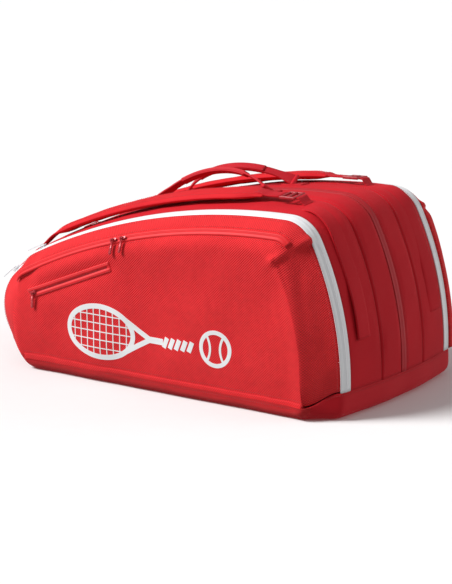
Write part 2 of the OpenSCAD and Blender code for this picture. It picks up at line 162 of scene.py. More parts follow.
class Shell:
    """Outer surface of the bag: tangent arcs along the zip line, crowned across it."""

    def __init__(self, s):
        self.s = s
        self.half_w = s.bag_w / 2
        self.split = self.half_w - s.edge_w
        line_x = s.bag_len / 2 - s.crown
        self.end_c = (line_x - s.end_r, s.bulge_z)
        self.top_c = (s.bag_len * 0.326, s.zip_h - s.top_r)
        nx = s.nose_r - line_x
        self.nose_c = (nx, self.top_c[1] + math.sqrt((s.top_r - s.nose_r) ** 2 - (nx - self.top_c[0]) ** 2))
        self.corner_c = circle_meet(self.end_c, s.end_r - s.corner_r, self.top_c, s.top_r - s.corner_r)
        self.end_a = bearing(self.end_c, self.corner_c)
        self.top_a = bearing(self.top_c, self.corner_c)
        self.nose_a = bearing(self.top_c, self.nose_c)
        self.low_a = math.pi + s.nose_lean
        self.low_start = (self.nose_c[0] + s.nose_r * math.cos(self.low_a),
                          self.nose_c[1] + s.nose_r * math.sin(self.low_a))
        self.tilt = math.atan(2 * s.crown / self.split)
        self.edge_r = s.edge_w / (1 - math.sin(self.tilt))
        self.side_v = self.split + self.edge_r * (math.pi / 2 - self.tilt)
        self.inner_edge = self.split - s.tape_show / 2
        self.outer_edge = self.split + s.tape_show / 2
        self.divider = s.middle_w / 2
        self.pocket_v = self.split + self.edge_r * (math.radians(60) - self.tilt)

    def across(self, v):
        v = np.asarray(v, float)
        s = self.s
        t = np.minimum(math.pi / 2, self.tilt + (v - self.split) / self.edge_r)
        low = v < self.split
        out = np.where(low, s.crown * (1 - (v / self.split) ** 2),
                       self.edge_r * (np.cos(t) - math.cos(self.tilt)))
        side = np.where(low, v, self.split + self.edge_r * (np.sin(t) - math.sin(self.tilt)))
        lean = np.where(low, np.arctan(2 * s.crown * v / self.split ** 2), t)
        return out, side, lean

    def rail(self, z, step=0.006):
        """Stations along the zip line from height z at the wide end to height z at the narrow end."""
        s = self.s
        rows = []

        def arc(c, r, a, b):
            n = max(2, int(abs(b - a) * r / step))
            for k in range(n + 1):
                t = a + (b - a) * k / n
                p = (c[0] + r * math.cos(t), c[1] + r * math.sin(t))
                rows.append((p[0], p[1], math.cos(t), math.sin(t), 0.0, 1.0))
        arc(self.end_c, s.end_r, math.asin((z - s.bulge_z) / s.end_r), self.end_a)
        rows.pop()
        arc(self.corner_c, s.corner_r, self.end_a, self.top_a)
        rows.pop()
        arc(self.top_c, s.top_r, self.top_a, self.nose_a)
        rows.pop()
        arc(self.nose_c, s.nose_r, self.nose_a, self.low_a)
        n = max(3, int((self.low_start[1] - z) / math.cos(s.nose_lean) / step))
        for k in range(1, n + 1):
            zz = self.low_start[1] + (z - self.low_start[1]) * k / n
            x = self.low_start[0] + (self.low_start[1] - zz) * math.tan(s.nose_lean)
            rows.append((x, zz, math.cos(self.low_a), math.sin(self.low_a), 0.0, -1.0))
        rows = np.array(rows)
        rows[:, 5] = np.where(rows[:, 0] > 0, 1.0, -1.0)
        rows[:, 4] = 1 - smooth((rows[:, 1] - 0.06) / 0.04)
        return rows

    def arc_rail(self, a, b, step=0.006):
        """Stations along the top arc only, between two angles."""
        n = max(2, int(abs(b - a) * self.s.top_r / step))
        return arc_rows(self.top_c, self.s.top_r, np.linspace(a, b, n + 1))

    def corner_rail(self, start, step):
        """Stations round the corner between the wide end and the top, from an angle up to the top arc."""
        n = max(2, int((self.top_a - start) * self.s.corner_r / step))
        return arc_rows(self.corner_c, self.s.corner_r, np.linspace(start, self.top_a, n)[:-1])

    def narrow_x(self, z, out):
        """Where the narrow end stands at height z: on the round nose, or on its leaning underside."""
        s = self.s
        r = s.nose_r + out
        on_nose = self.nose_c[0] - np.sqrt(np.maximum(r ** 2 - (z - self.nose_c[1]) ** 2, 1e-9))
        below = (self.low_start[0] + (self.low_start[1] - z) * math.tan(s.nose_lean)
                 - out / math.cos(s.nose_lean))
        return np.where(z > self.nose_c[1] + r * math.sin(self.low_a), on_nose, below)

    def wide_x(self, z, out):
        s = self.s
        return self.end_c[0] + np.sqrt(np.maximum((s.end_r + out) ** 2 - (z - s.bulge_z) ** 2, 1e-9))

    def skin(self, rows, v, d, z_from=None, z_to=None):
        """Points of the front half at stations rows, across position v and depth d (arrays that broadcast).

        The rows' own lowest height z_from is moved to z_to, and the rows up to LEVEL_TOP follow."""
        s = self.s
        o, side, lean = self.across(v)
        out = o - d * np.cos(lean)
        px, pz, nx, nz, w, end = [rows[..., k] for k in range(6)]
        y = -(side - d * np.sin(lean)) + 0 * px
        zz = pz + 0 * y
        if z_to is not None:
            moved_z = z_to + (zz - z_from) * (LEVEL_TOP - z_to) / (LEVEL_TOP - z_from)
            zz = np.where(zz < LEVEL_TOP, moved_z, zz)
        level = np.where(end > 0, self.wide_x(zz, out), self.narrow_x(zz, out))
        x = (px + nx * out) * (1 - w) + level * w
        z = (pz + nz * out) * (1 - w) + zz * w
        push = s.nose_taper * (y / self.split) ** 2 * smooth((-0.35 * s.bag_len - x) / 0.070)
        return np.stack([x + push, y, z], -1)

    def frame_at(self, c, r, a, v, d=0.0, twist=0.0):
        """Matrix on the surface: X forward along the zip line, Z outwards."""
        row = np.array([c[0] + r * math.cos(a), c[1] + r * math.sin(a), math.cos(a), math.sin(a), 0.0, 1.0])
        p = self.skin(row, np.array(v), np.array(d))
        lean = float(self.across(v)[2])
        return (Matrix.Translation(Vector(p)) @ Matrix.Rotation(math.pi / 2 - a, 4, "Y")
                @ Matrix.Rotation(lean + twist, 4, "X"))


# ------------------------------------------------------------------ mesh helpers
def waves(seed, wavelength, count=14):
    """Smooth repeatable noise over points, about -1 to 1."""
    rng = np.random.default_rng(seed)
    dirs = rng.normal(size=(count, 3))
    dirs /= np.linalg.norm(dirs, axis=1)[:, None]
    freq = 2 * math.pi / (wavelength * rng.uniform(0.7, 1.6, count))
    phase = rng.uniform(0, 2 * math.pi, count)
    return lambda p: np.sin((p @ dirs.T) * freq + phase).sum(-1) / math.sqrt(count)


def grid_normals(g):
    du, dv = np.gradient(g, axis=0), np.gradient(g, axis=1)
    n = np.cross(du, dv)
    size = np.linalg.norm(n, axis=-1, keepdims=True)
    return n / np.maximum(size, 1e-12)


def new_object(name, verts, faces, material, uvs=None, flip=False):
    mesh = bpy.data.meshes.new(name)
    if flip:
        faces = [tuple(reversed(f)) for f in faces]
    mesh.from_pydata([tuple(v) for v in verts], [], faces)
    if uvs is not None:
        layer = mesh.uv_layers.new(name="UVMap")
        loops = np.zeros(len(mesh.loops), int)
        mesh.loops.foreach_get("vertex_index", loops)
        layer.data.foreach_set("uv", np.asarray(uvs, np.float32)[loops].ravel())
    mesh.polygons.foreach_set("use_smooth", np.ones(len(mesh.polygons), bool))
    mesh.materials.append(material)
    mesh.update()
    made = bpy.data.objects.new(name, mesh)
    bpy.context.scene.collection.objects.link(made)
    return made


def sheet_solid(name, outer, inner, material, uv=None):
    """Closed solid between an outer and an inner grid of points, with lengths in metres as its UV map."""
    nu, nv = outer.shape[:2]
    verts = np.concatenate([outer.reshape(-1, 3), inner.reshape(-1, 3)])
    base = nu * nv
    faces = []
    for i in range(nu - 1):
        for j in range(nv - 1):
            a, b, c, d = i * nv + j, i * nv + j + 1, (i + 1) * nv + j + 1, (i + 1) * nv + j
            faces.append((a, b, c, d))
            faces.append((base + d, base + c, base + b, base + a))
        k, k2 = i * nv, (i + 1) * nv
        faces.append((k, k2, base + k2, base + k))
        k, k2 = k + nv - 1, k2 + nv - 1
        faces.append((k2, k, base + k, base + k2))
    for j in range(nv - 1):
        faces.append((j + 1, j, base + j, base + j + 1))
        r = (nu - 1) * nv
        faces.append((r + j, r + j + 1, base + r + j + 1, base + r + j))
    if uv is None:
        du, dv = run_length(outer[:, nv // 2]), run_length(outer[nu // 2])
        uv = np.stack(np.meshgrid(du, dv, indexing="ij"), -1)
    uv = uv.reshape(-1, 2)
    k = (nu // 2) * nv + nv // 2 - 1
    away = np.dot(np.cross(verts[k + 1] - verts[k], verts[k + nv + 1] - verts[k]), verts[k] - verts[base + k])
    return new_object(name, verts, faces, material, np.concatenate([uv, uv]), flip=away < 0)


def mirrored(points):
    return points * np.array([1, -1, 1])


def fix_normals(made):
    bm = bmesh.new()
    bm.from_mesh(made.data)
    bmesh.ops.recalc_face_normals(bm, faces=bm.faces)
    bm.to_mesh(made.data)
    bm.free()


def rounded_bar(width, thick, corner, n=4):
    """Closed outline of a flat bar with rounded corners, centred on 0."""
    pts = []
    for cx, cz, a0 in ((1, 1, 0), (-1, 1, 90), (-1, -1, 180), (1, -1, 270)):
        for k in range(n + 1):
            a = math.radians(a0 + 90 * k / n)
            pts.append((cx * (width / 2 - corner) + corner * math.cos(a),
                        cz * (thick / 2 - corner) + corner * math.sin(a)))
    return pts


def joined(objects, name):
    """Joins mesh objects into one, keeping their materials."""
    if len(objects) > 1:
        with bpy.context.temp_override(active_object=objects[0], selected_editable_objects=objects):
            bpy.ops.object.join()
    objects[0].name = name
    objects[0].data.name = name
    return objects[0]


def put(made, body, slot_name, *nodes):
    """Rides a piece on a body, in place of CAD nodes; slot_name is not used."""
    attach(made, body)
    if nodes:
        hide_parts(*nodes)
    return made


# ------------------------------------------------------------------ materials
def plain(name, base, rough, metallic=0.0, coat=0.0, grain=0.0, grain_scale=900.0, variation=0.06, sheen=0.0):
    """Solid finish with soft mottling and a fine grain, in the object's own metres."""
    mat = bpy.data.materials.new(name)
    mat.use_nodes = True
    nodes, links = mat.node_tree.nodes, mat.node_tree.links
    bsdf = nodes["Principled BSDF"]
    bsdf.inputs["Roughness"].default_value = rough
    bsdf.inputs["Metallic"].default_value = metallic
    bsdf.inputs["Coat Weight"].default_value = coat
    bsdf.inputs["Coat Roughness"].default_value = 0.25
    bsdf.inputs["Sheen Weight"].default_value = sheen
    coord = nodes.new("ShaderNodeTexCoord")
    blotch = nodes.new("ShaderNodeTexNoise")
    blotch.inputs["Scale"].default_value = 28.0
    blotch.inputs["Detail"].default_value = 4.0
    links.new(coord.outputs["Object"], blotch.inputs["Vector"])
    ramp = nodes.new("ShaderNodeValToRGB")
    ramp.color_ramp.elements[0].position = 0.3
    ramp.color_ramp.elements[1].position = 0.7
    ramp.color_ramp.elements[0].color = tuple(c * (1 - variation) for c in base) + (1,)
    ramp.color_ramp.elements[1].color = tuple(min(1, c * (1 + variation)) for c in base) + (1,)
    links.new(blotch.outputs["Fac"], ramp.inputs["Fac"])
    links.new(ramp.outputs["Color"], bsdf.inputs["Base Color"])
    fine = nodes.new("ShaderNodeTexNoise")
    fine.inputs["Scale"].default_value = grain_scale
    links.new(coord.outputs["Object"], fine.inputs["Vector"])
    bump = nodes.new("ShaderNodeBump")
    bump.inputs["Strength"].default_value = grain
    bump.inputs["Distance"].default_value = 0.0003
    links.new(fine.outputs["Fac"], bump.inputs["Height"])
    links.new(bump.outputs["Normal"], bsdf.inputs["Normal"])
    return mat


def weave(name, base, pitch, depth=0.6, rough=0.75, sheen=0.05, rib=0.0, gap_shade=0.22, variation=0.10,
          space="UV"):
    """Woven cloth: crossed threads at a given pitch in metres, slubs, soft mottling and a light sheen, with
    painted shade darkening the gaps between threads and a painted highlight on their raised tops.
    """
    mat = bpy.data.materials.new(name)
    mat.use_nodes = True
    nodes, links = mat.node_tree.nodes, mat.node_tree.links
    bsdf = nodes["Principled BSDF"]
    bsdf.inputs["Roughness"].default_value = rough
    bsdf.inputs["Specular IOR Level"].default_value = 0.22
    bsdf.inputs["Sheen Weight"].default_value = sheen
    bsdf.inputs["Sheen Roughness"].default_value = 0.5
    bsdf.inputs["Sheen Tint"].default_value = tuple(min(1, 0.4 + 0.6 * c) for c in base) + (1,)
    coord = nodes.new("ShaderNodeTexCoord")

    def math_node(op, a, b):
        node = nodes.new("ShaderNodeMath")
        node.operation = op
        for k, value in enumerate((a, b)):
            if isinstance(value, (int, float)):
                node.inputs[k].default_value = value
            else:
                links.new(value, node.inputs[k])
        return node.outputs[0]

    def threads(direction, scale):
        wave = nodes.new("ShaderNodeTexWave")
        wave.bands_direction = direction
        wave.inputs["Scale"].default_value = scale
        wave.inputs["Distortion"].default_value = 0.0
        links.new(coord.outputs[space], wave.inputs["Vector"])
        return math_node("SUBTRACT", wave.outputs["Fac"], 0.5)

    scale = math.pi / 10 / pitch
    crossed = math_node("MULTIPLY", threads("X", scale), threads("Y", scale))
    height = math_node("MULTIPLY", crossed, 2.0)
    if rib:
        height = math_node("ADD", height, math_node("MULTIPLY", threads("Y", scale / 3), rib))
    slub = nodes.new("ShaderNodeTexNoise")
    slub.inputs["Scale"].default_value = 0.35 / pitch
    slub.inputs["Detail"].default_value = 3.0
    links.new(coord.outputs[space], slub.inputs["Vector"])
    height = math_node("ADD", height, math_node("MULTIPLY", slub.outputs["Fac"], 0.5))
    blotch = nodes.new("ShaderNodeTexNoise")
    blotch.inputs["Scale"].default_value = 11.0
    blotch.inputs["Detail"].default_value = 3.0
    links.new(coord.outputs["Object"], blotch.inputs["Vector"])
    # painted shade and highlight: the colour follows the thread height, darker in the gaps between threads
    # and lighter on raised threads and slubs; the blotch term added here is the cloth's own uneven tone
    shade_and_mottling = math_node("ADD", math_node("MULTIPLY", height, gap_shade),
                      math_node("MULTIPLY", math_node("SUBTRACT", blotch.outputs["Fac"], 0.5), variation * 4))
    ramp = nodes.new("ShaderNodeValToRGB")
    ramp.color_ramp.elements[0].position = 0.0
    ramp.color_ramp.elements[1].position = 1.0
    # dark end of the ramp is the painted shade in the thread gaps, light end is the painted highlight on the
    # thread tops
    ramp.color_ramp.elements[0].color = tuple(c * 0.62 for c in base) + (1,)
    ramp.color_ramp.elements[1].color = tuple(min(1, c * 1.30) for c in base) + (1,)
    links.new(math_node("ADD", shade_and_mottling, 0.47), ramp.inputs["Fac"])
    links.new(ramp.outputs["Color"], bsdf.inputs["Base Color"])
    bump = nodes.new("ShaderNodeBump")
    bump.inputs["Strength"].default_value = depth
    bump.inputs["Distance"].default_value = pitch * 0.3
    links.new(height, bump.inputs["Height"])
    links.new(bump.outputs["Normal"], bsdf.inputs["Normal"])
    return mat


M = {}


def make_materials(c):
    # each fabric's weave contrast is painted shade in the thread gaps and painted highlight on the thread
    # tops
    M["panel"] = weave("panel ripstop", c.panel, 0.0043, depth=1.0, gap_shade=0.85, sheen=0.04)
    M["gusset"] = weave("gusset cloth", c.gusset, 0.0018, depth=0.45, gap_shade=0.12)
    M["boot"] = weave("boot cloth", c.gusset, 0.0018, depth=0.4, rough=0.65, gap_shade=0.10)
    M["strap"] = weave("strap cloth", c.strap, 0.0016, depth=0.5, gap_shade=0.14)
    M["webbing"] = weave("webbing", c.webbing, 0.0013, depth=0.8, rib=0.6, gap_shade=0.25, rough=0.6)
    M["lining"] = weave("lining cloth", c.lining, 0.0012, depth=0.3, rough=0.7, space="Object")
    M["zip_white"] = plain("white coated tape", c.zip_white, 0.38, coat=0.2, grain=0.25, variation=0.02)
    M["zip_red"] = plain("red coated tape", c.zip_red, 0.55, grain=0.25)
    M["zip_centre"] = plain("red zip tape", c.zip_centre, 0.65, grain=0.3)
    M["slider_white"] = plain("white slider", c.zip_white, 0.3, coat=0.4, grain=0.05, variation=0.03)
    M["slider_red"] = plain("red slider", c.trim_red, 0.32, metallic=0.3, coat=0.3, grain=0.05)
    M["buckle"] = plain("moulded buckle", c.buckle, 0.35, coat=0.1, grain=0.15, grain_scale=600)
    M["thread"] = plain("thread", c.thread, 0.6, grain=0.3, variation=0.1, sheen=0.3)
    M["print"] = plain("printed mark", c.print_white, 0.5, grain=0.2, grain_scale=700, variation=0.02)
    M["board"] = plain("base board", (0.03, 0.03, 0.033), 0.7, grain=0.5)


# ------------------------------------------------------------------ fabric shapes
def boot_line(shell, v):
    """Height of the boot's top edge at across position v."""
    s = shell.s
    t = (np.asarray(v, float) - shell.outer_edge) / (shell.side_v - shell.outer_edge)
    return s.boot_h - (s.boot_h - s.boot_side_h) * smooth(t)


def gauss(x, width):
    return np.exp(-(x / width) ** 2)


def line_distance(x, z, a, b):
    """Distance from points (x, z) to the segment a-b, and the share of the way along it."""
    dx, dz = b[0] - a[0], b[1] - a[1]
    t = np.clip(((x - a[0]) * dx + (z - a[1]) * dz) / (dx * dx + dz * dz), 0, 1)
    side = (dx * (z - a[1]) - dz * (x - a[0])) / math.hypot(dx, dz)
    return np.hypot(x - a[0] - t * dx, z - a[1] - t * dz), t, side


def slanted_line(s):
    """Lower end of the slanted pocket zip on the flat side, and its slope."""
    return -0.33 * s.bag_len, 0.42 * s.zip_h, math.radians(22)


class Cover:
    """Shape of the soft side panel: how far it stands out at each point of its flat side."""

    def __init__(self, shell, seed, full_edge=False):
        s = shell.s
        self.shell, self.s = shell, s
        self.full_edge = full_edge
        self.crest = 0.0035
        self.long = waves(seed, 0.150)
        self.short = waves(seed + 1, 0.055)
        self.low = s.boot_side_h + 0.0025
        k = shell.wide_x(np.array(self.low), np.array(0.0))
        self.right = float(k) - 0.020 - s.edge_w * 0.55
        self.left = float(shell.narrow_x(np.array(self.low), np.array(0.0))) + 0.020 + s.edge_w
        self.dart_a = (0.352 * s.bag_len, 0.800 * s.zip_h)
        self.dart_b = (0.432 * s.bag_len, 0.935 * s.zip_h)
        ax, az, slant = slanted_line(s)
        self.slant_a = (ax, az)
        self.slant_b = (ax + s.small_pocket_len * math.cos(slant), az + s.small_pocket_len * math.sin(slant))
        self.edge_run = shell.side_v - shell.outer_edge

    def stand(self, p, border, darts=True):
        """Outward displacement at points p, where border is the distance to the nearest seam."""
        s = self.s
        fade = smooth(border / 0.030)
        out = s.puff * smooth(border / 0.070)
        flat = p * np.array([1, 0.35, 1])
        out = out + fade * (s.ripple * self.long(flat) + 0.35 * s.ripple * self.short(flat))
        x, z = p[..., 0], p[..., 2]
        crease_high = 0.0016
        near, share, side = line_distance(x, z, (0.30 * s.bag_len, self.low),
                                          (0.20 * s.bag_len, 0.40 * s.zip_h))
        out = out + fade * crease_high * gauss(near, 0.016) * np.sin(side / 0.011) * (1 - share)
        near, _, side = line_distance(x, z, (-0.38 * s.bag_len, 0.12), (-0.24 * s.bag_len, self.low))
        out = out + fade * crease_high * gauss(near, 0.022) * np.sin(side / 0.010)
        if not self.full_edge:
            near, _, _ = line_distance(x, z, self.slant_a, self.slant_b)
            out = out * (1 - 0.92 * gauss(near, 0.018))
        if darts:
            near, _, side = line_distance(x, z, self.dart_a, self.dart_b)
            out = out - 0.0024 * gauss(side + 0.002, 0.004) * gauss(near, 0.010)
            out = out + 0.0052 * gauss(side - 0.007, 0.007) * gauss(near, 0.020)
        return out

    def ridge(self, across, p):
        """Change of the rounded edge at the wide end: a flat facet up to a ridge, or a fuller edge."""
        s = self.s
        lean = self.shell.across(across)[2]
        x, z = p[..., 0], p[..., 2]
        wide = smooth((x - 0.33 * s.bag_len) / (0.08 * s.bag_len)) * smooth((0.93 * s.zip_h - z) / 0.035)
        if self.full_edge:
            return 0.0085 * gauss(lean - math.radians(42), math.radians(24)) * wide
        first = self.shell.across(self.shell.outer_edge)[2]
        half = (math.pi / 2 - first) / 2
        chord = self.shell.edge_r * (math.cos(half) / np.cos(np.clip(lean - first - half, -half, half)) - 1)
        return (0.9 * chord + self.crest * gauss(lean - math.pi / 2, math.radians(11))) * wide

    def valley(self, across, p):
        """How much of the fullness is left beside the pocket zip, which draws the cloth in."""
        s = self.s
        on = smooth((p[..., 0] + 0.385 * s.bag_len) / 0.02) * smooth((0.425 * s.bag_len - p[..., 0]) / 0.02)
        return 1 - 0.96 * on * gauss(across - self.shell.pocket_v, 0.015)

    def flat_y(self, x, z):
        """Where the flat side stands at (x, z), as a positive distance from the middle plane."""
        p = np.stack([x, np.full_like(x, -self.shell.half_w), z], -1)
        return self.shell.half_w + self.stand(p, self.flat_border(z)) + self.spill(p)

    def spill(self, p):
        """The ridge of the edge, dying out over the flat side."""
        s = self.s
        if self.full_edge:
            return 0 * p[..., 0]
        x, z = p[..., 0], p[..., 2]
        outline = self.shell.wide_x(z, -self.shell.edge_r * math.cos(self.shell.tilt))
        low = smooth((0.93 * s.zip_h - z) / 0.035)
        near = gauss(np.minimum(x - outline, 0), 0.014)
        return self.crest * low * near * smooth((x - 0.24 * s.bag_len) / 0.03)

    def flat_border(self, z):
        return np.clip(z - self.low + 0.022, 0, self.edge_run)

    def grids(self, step=0.005, edge_cols=20, flat_cols=46, depths=(0.0, 0.003), darts=True):
        sh, s = self.shell, self.s
        rows = sh.rail(self.low, step)[:, None, :]
        vs = np.linspace(sh.outer_edge + 0.0003, sh.side_v, edge_cols)[None, :]
        z_to = boot_line(sh, vs) + 0.0025
        t = np.linspace(0, 1, flat_cols + 1)[1:]
        made = []
        for d in depths:
            edge = sh.skin(rows, vs, np.array(d), self.low, z_to)
            top = edge[:, -1]
            steps = np.abs(np.diff(top[:, 0])) + 0.12 * np.abs(np.diff(top[:, 2]))
            run = np.concatenate([[0], np.cumsum(steps)])
            low_x = self.right + (self.left - self.right) * run / run[-1]
            low = np.stack([low_x, top[:, 1], np.full(len(top), self.low)], -1)
            flat = top[:, None] * (1 - t[None, :, None]) + low[:, None] * t[None, :, None]
            g = np.concatenate([edge, flat], 1)
            base = grid_normals(g)
            base *= np.sign((base[:, :, 1].mean() < 0) * 2.0 - 1)
            base[:, edge_cols:] = (0, -1, 0)
            at_edge = np.minimum(vs - sh.outer_edge, np.maximum(edge[..., 2] - z_to, 0) + 0.022)
            border = np.concatenate([at_edge, self.flat_border(flat[..., 2])], 1)
            full = self.stand(g, border, darts)
            full[:, :edge_cols] = full[:, :edge_cols] * self.valley(vs, edge) + self.ridge(vs, edge)
            full[:, edge_cols:] += self.spill(flat)
            g = g + base * full[..., None]
            nose = smooth((-0.30 * s.bag_len - g[..., 0]) / 0.03)[..., None]
            for _ in range(120):
                soft = (g[:, :-2] + 2 * g[:, 1:-1] + g[:, 2:]) / 4
                g[:, 1:-1] += (soft - g[:, 1:-1]) * nose[:, 1:-1]
            made.append(g)
        spread = top[:, None, [0, 2]] + rows[:, :, 2:4] * (sh.side_v - vs)[..., None]
        return made + [np.concatenate([spread, flat[..., [0, 2]]], 1)]


def strip_grids(shell, rows, v0, v1, d0, d1, cols=8, lift=None, z_from=None, z_to=None):
    """Outer and inner grid of a strip of fabric between two across positions and two depths."""
    vs = np.linspace(v0, v1, cols)[None, :]
    r = rows[:, None, :]
    zt = None if z_to is None else np.full_like(vs, z_to)
    outer = shell.skin(r, vs, np.array(d0), z_from, zt)
    inner = shell.skin(r, vs, np.array(d1), z_from, zt)
    if lift is not None:
        n = outer - inner
        n /= np.linalg.norm(n, axis=-1, keepdims=True)
        h = lift(outer, (vs - v0) / (v1 - v0), np.linspace(0, 1, len(rows))[:, None])
        outer = outer + n * h[..., None]
        inner = inner + n * h[..., None]
    return outer, inner


def stitches(points, normals, pitch, size=0.00045, share=0.66):
    """Vertices and faces of a row of stitches along a line of points, lying on the surface."""
    along = run_length(points)
    count = max(1, int(along[-1] / pitch))
    at = (np.arange(count) + 0.5) * along[-1] / count

    def pick(values, where):
        return np.stack([np.interp(where, along, values[:, k]) for k in range(3)], -1)
    a = pick(points, at - pitch * share / 2)
    b = pick(points, at + pitch * share / 2)
    n = pick(normals, at)
    n /= np.linalg.norm(n, axis=1, keepdims=True)
    mid = (a + b) / 2 + n * size * 0.6
    side = np.cross(b - a, n)
    side /= np.maximum(np.linalg.norm(side, axis=1, keepdims=True), 1e-9)
    verts = np.stack([a - n * size * 0.4, b - n * size * 0.4, mid + side * size, mid + n * size,
                      mid - side * size, mid - n * size], 1).reshape(-1, 3)
    shape = ((0, 3, 2), (0, 4, 3), (0, 5, 4), (0, 2, 5), (1, 2, 3), (1, 3, 4), (1, 4, 5), (1, 5, 2))
    faces = [tuple(6 * k + i for i in f) for k in range(count) for f in shape]
    return verts, faces


def stitch_rows(name, lines, body, slot_name, pitch):
    """One piece with several rows of stitches; lines holds (points, normals) pairs."""
    verts, faces, base = [], [], 0
    for points, normals in lines:
        v, f = stitches(points, normals, pitch)
        verts.append(v)
        faces += [tuple(base + i for i in tri) for tri in f]
        base += len(v)
    made = new_object(name, np.concatenate(verts), faces, M["thread"])
    fix_normals(made)
    return put(made, body, slot_name)


def surface_line(shell, rows, v, raise_by=0.0, z_from=None, z_to=None):
    """Points and outward normals of a line at across position v."""
    zt = None if z_to is None else np.array([z_to])
    a = shell.skin(rows[:, None, :], np.array([[v]]), np.array(-raise_by), z_from, zt)[:, 0]
    b = shell.skin(rows[:, None, :], np.array([[v]]), np.array(-raise_by - 0.001), z_from, zt)[:, 0]
    return a, b - a


def both_sides(build):
    """Calls build(side name, point map, y sign) for the front and the rear half."""
    build("front", lambda p: p, -1)
    build("rear", mirrored, 1)


# ------------------------------------------------------------------ fabric pieces
def side_covers(shell):
    def build(side, flip, sy):
        cover = Cover(shell, *((FRONT_SEED, False) if side == "front" else (REAR_SEED, True)))
        outer, inner, laid = cover.grids()
        panel = sheet_solid(side + "_side_panel", flip(outer), flip(inner), M["panel"], laid)
        put(panel, side + "_cover", "panel_fabric", side + "_panel")
        outer, inner, _ = cover.grids(step=0.010, edge_cols=14, flat_cols=24, depths=(0.0042, 0.0056),
                                      darts=False)
        inside = sheet_solid(side + "_side_lining", flip(outer), flip(inner), M["lining"])
        put(inside, side + "_cover", "lining_fabric", side + "_lining")
        x = np.linspace(cover.right - 0.004, cover.left + 0.006, 130)
        z = np.linspace(shell.s.boot_side_h - 0.004, cover.low + 0.004, 9)
        xx, zz = np.meshgrid(x, z, indexing="ij")
        full = cover.flat_y(xx, np.full_like(xx, cover.low))
        rise = 0.0004 + 0.0007 * np.sqrt(np.maximum(1 - ((zz - zz.mean()) / (np.ptp(z) / 2)) ** 2, 0))
        g = np.stack([xx, -(full + rise), zz], -1)
        g_in = np.stack([xx, -(full - 0.0012), zz], -1)
        band = sheet_solid(side + "_fold_binding", flip(g), flip(g_in), M["panel"])
        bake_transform(band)
        rows = shell.rail(SEAM_Z, 0.005)
        low = 0.0475
        lines = []
        for offset in (0.0022, 0.0075):
            p, n = surface_line(shell, rows, shell.outer_edge + offset, 0.0002, SEAM_Z, low)
            lines.append((flip(p), n * (1, -sy, 1)))
        bottom = np.linspace(cover.right - 0.004, cover.left + 0.004, 220)
        zz = np.full_like(bottom, cover.low + 0.0080)
        p = np.stack([bottom, -cover.flat_y(bottom, zz) - 0.0002, zz], -1)
        lines.append((flip(p), np.tile([0.0, sy, 0.0], (len(p), 1))))
        stitch_rows(side + "_cover_stitching", lines, side + "_cover", "panel_fabric", shell.s.stitch_pitch)
    both_sides(build)


def gussets(shell):
    def puffed(seed, rise, ripple):
        noise, fine = waves(seed, 0.12), waves(seed + 1, 0.045)

        def lift(p, fv, fu):
            edge = np.minimum(fv, 1 - fv) * 4
            low = smooth(np.minimum(fu, 1 - fu) * 14)
            soft = smooth(edge)
            wide = smooth((p[..., 0] - 0.25) / 0.06)
            sag = ripple * noise(p) * (0.6 + 0.8 * wide) + ripple * 0.3 * fine(p)
            return (rise * soft + sag * soft) * low - 0.0018 * (1 - smooth(np.minimum(fv, 1 - fv) * 22))
        return lift

    def build(side, flip, sy):
        rows = shell.rail(SEAM_Z, 0.006)
        half_tape = shell.s.small_tape_w / 2
        seed = 5 if side == "front" else 8
        outer, inner = strip_grids(shell, rows, shell.divider + CLEAR, shell.inner_edge - CLEAR, 0, 0.003, 26,
                                   puffed(seed, 0.0020, 0.0010))
        put(sheet_solid(side + "_gusset_cloth", flip(outer), flip(inner), M["gusset"]), "bag_body",
            "gusset_fabric", side + "_gusset")
        outer, inner = strip_grids(shell, rows, half_tape + CLEAR, shell.divider - CLEAR, 0, 0.003, 20,
                                   puffed(seed + 20, 0.0018, 0.0009))
        put(sheet_solid("middle_" + side + "_cloth", flip(outer), flip(inner), M["gusset"]), "bag_body",
            "gusset_fabric", "middle_gusset_" + side)
        lines = []
        for v in (shell.divider + 0.0045, shell.divider - 0.0045, shell.inner_edge - 0.0024,
                  half_tape + 0.0026, half_tape + 0.0062):
            p, n = surface_line(shell, rows[2:-2], v, 0.0007)
            lines.append((flip(p), n * (1, -sy, 1)))
        stitch_rows(side + "_gusset_stitching", lines, "bag_body", "gusset_fabric", shell.s.stitch_pitch)
        flap_rows = shell.rail(0.122, 0.005)
        on_top = np.arctan2(flap_rows[:, 3], flap_rows[:, 2]) > shell.top_a - 0.001
        flap_rows = flap_rows[:int(np.argmax(on_top)) + 3]
        flap_rows[:, 4] = 0

        def hang(p, fv, fu):
            free = smooth(fv * 1.2) * 0.0022 + 0.0012 * np.sin(fu * 9) * fv
            sewn_side, sewn_end = 1 - smooth(fv * 6), 1 - smooth((1 - fu) * 8)
            return free * smooth((1 - fu) * 6) - 0.0020 * sewn_side - 0.0026 * sewn_end
        outer, inner = strip_grids(shell, flap_rows, shell.divider + 0.028, shell.divider + 0.064,
                                   -0.003, -0.0008, 12, hang)
        put(sheet_solid(side + "_pleat", flip(outer), flip(inner), M["gusset"]), "bag_body", "gusset_fabric",
            side + "_pleat_flap")
        edge = (outer[:, -2] - outer[:, -1]) * 0.7 + outer[:, -1]
        hem = np.cross(np.gradient(outer[:, -2], axis=0), outer[:, -1] - outer[:, -3])
        hem *= np.sign((hem * (outer - inner)[:, -2]).sum(-1, keepdims=True))
        line = flip(edge + (outer - inner)[:, -2] * 0.08), hem * (1, -sy, 1)
        stitch_rows(side + "_pleat_stitching", [line], "bag_body", "gusset_fabric", shell.s.stitch_pitch)
    both_sides(build)


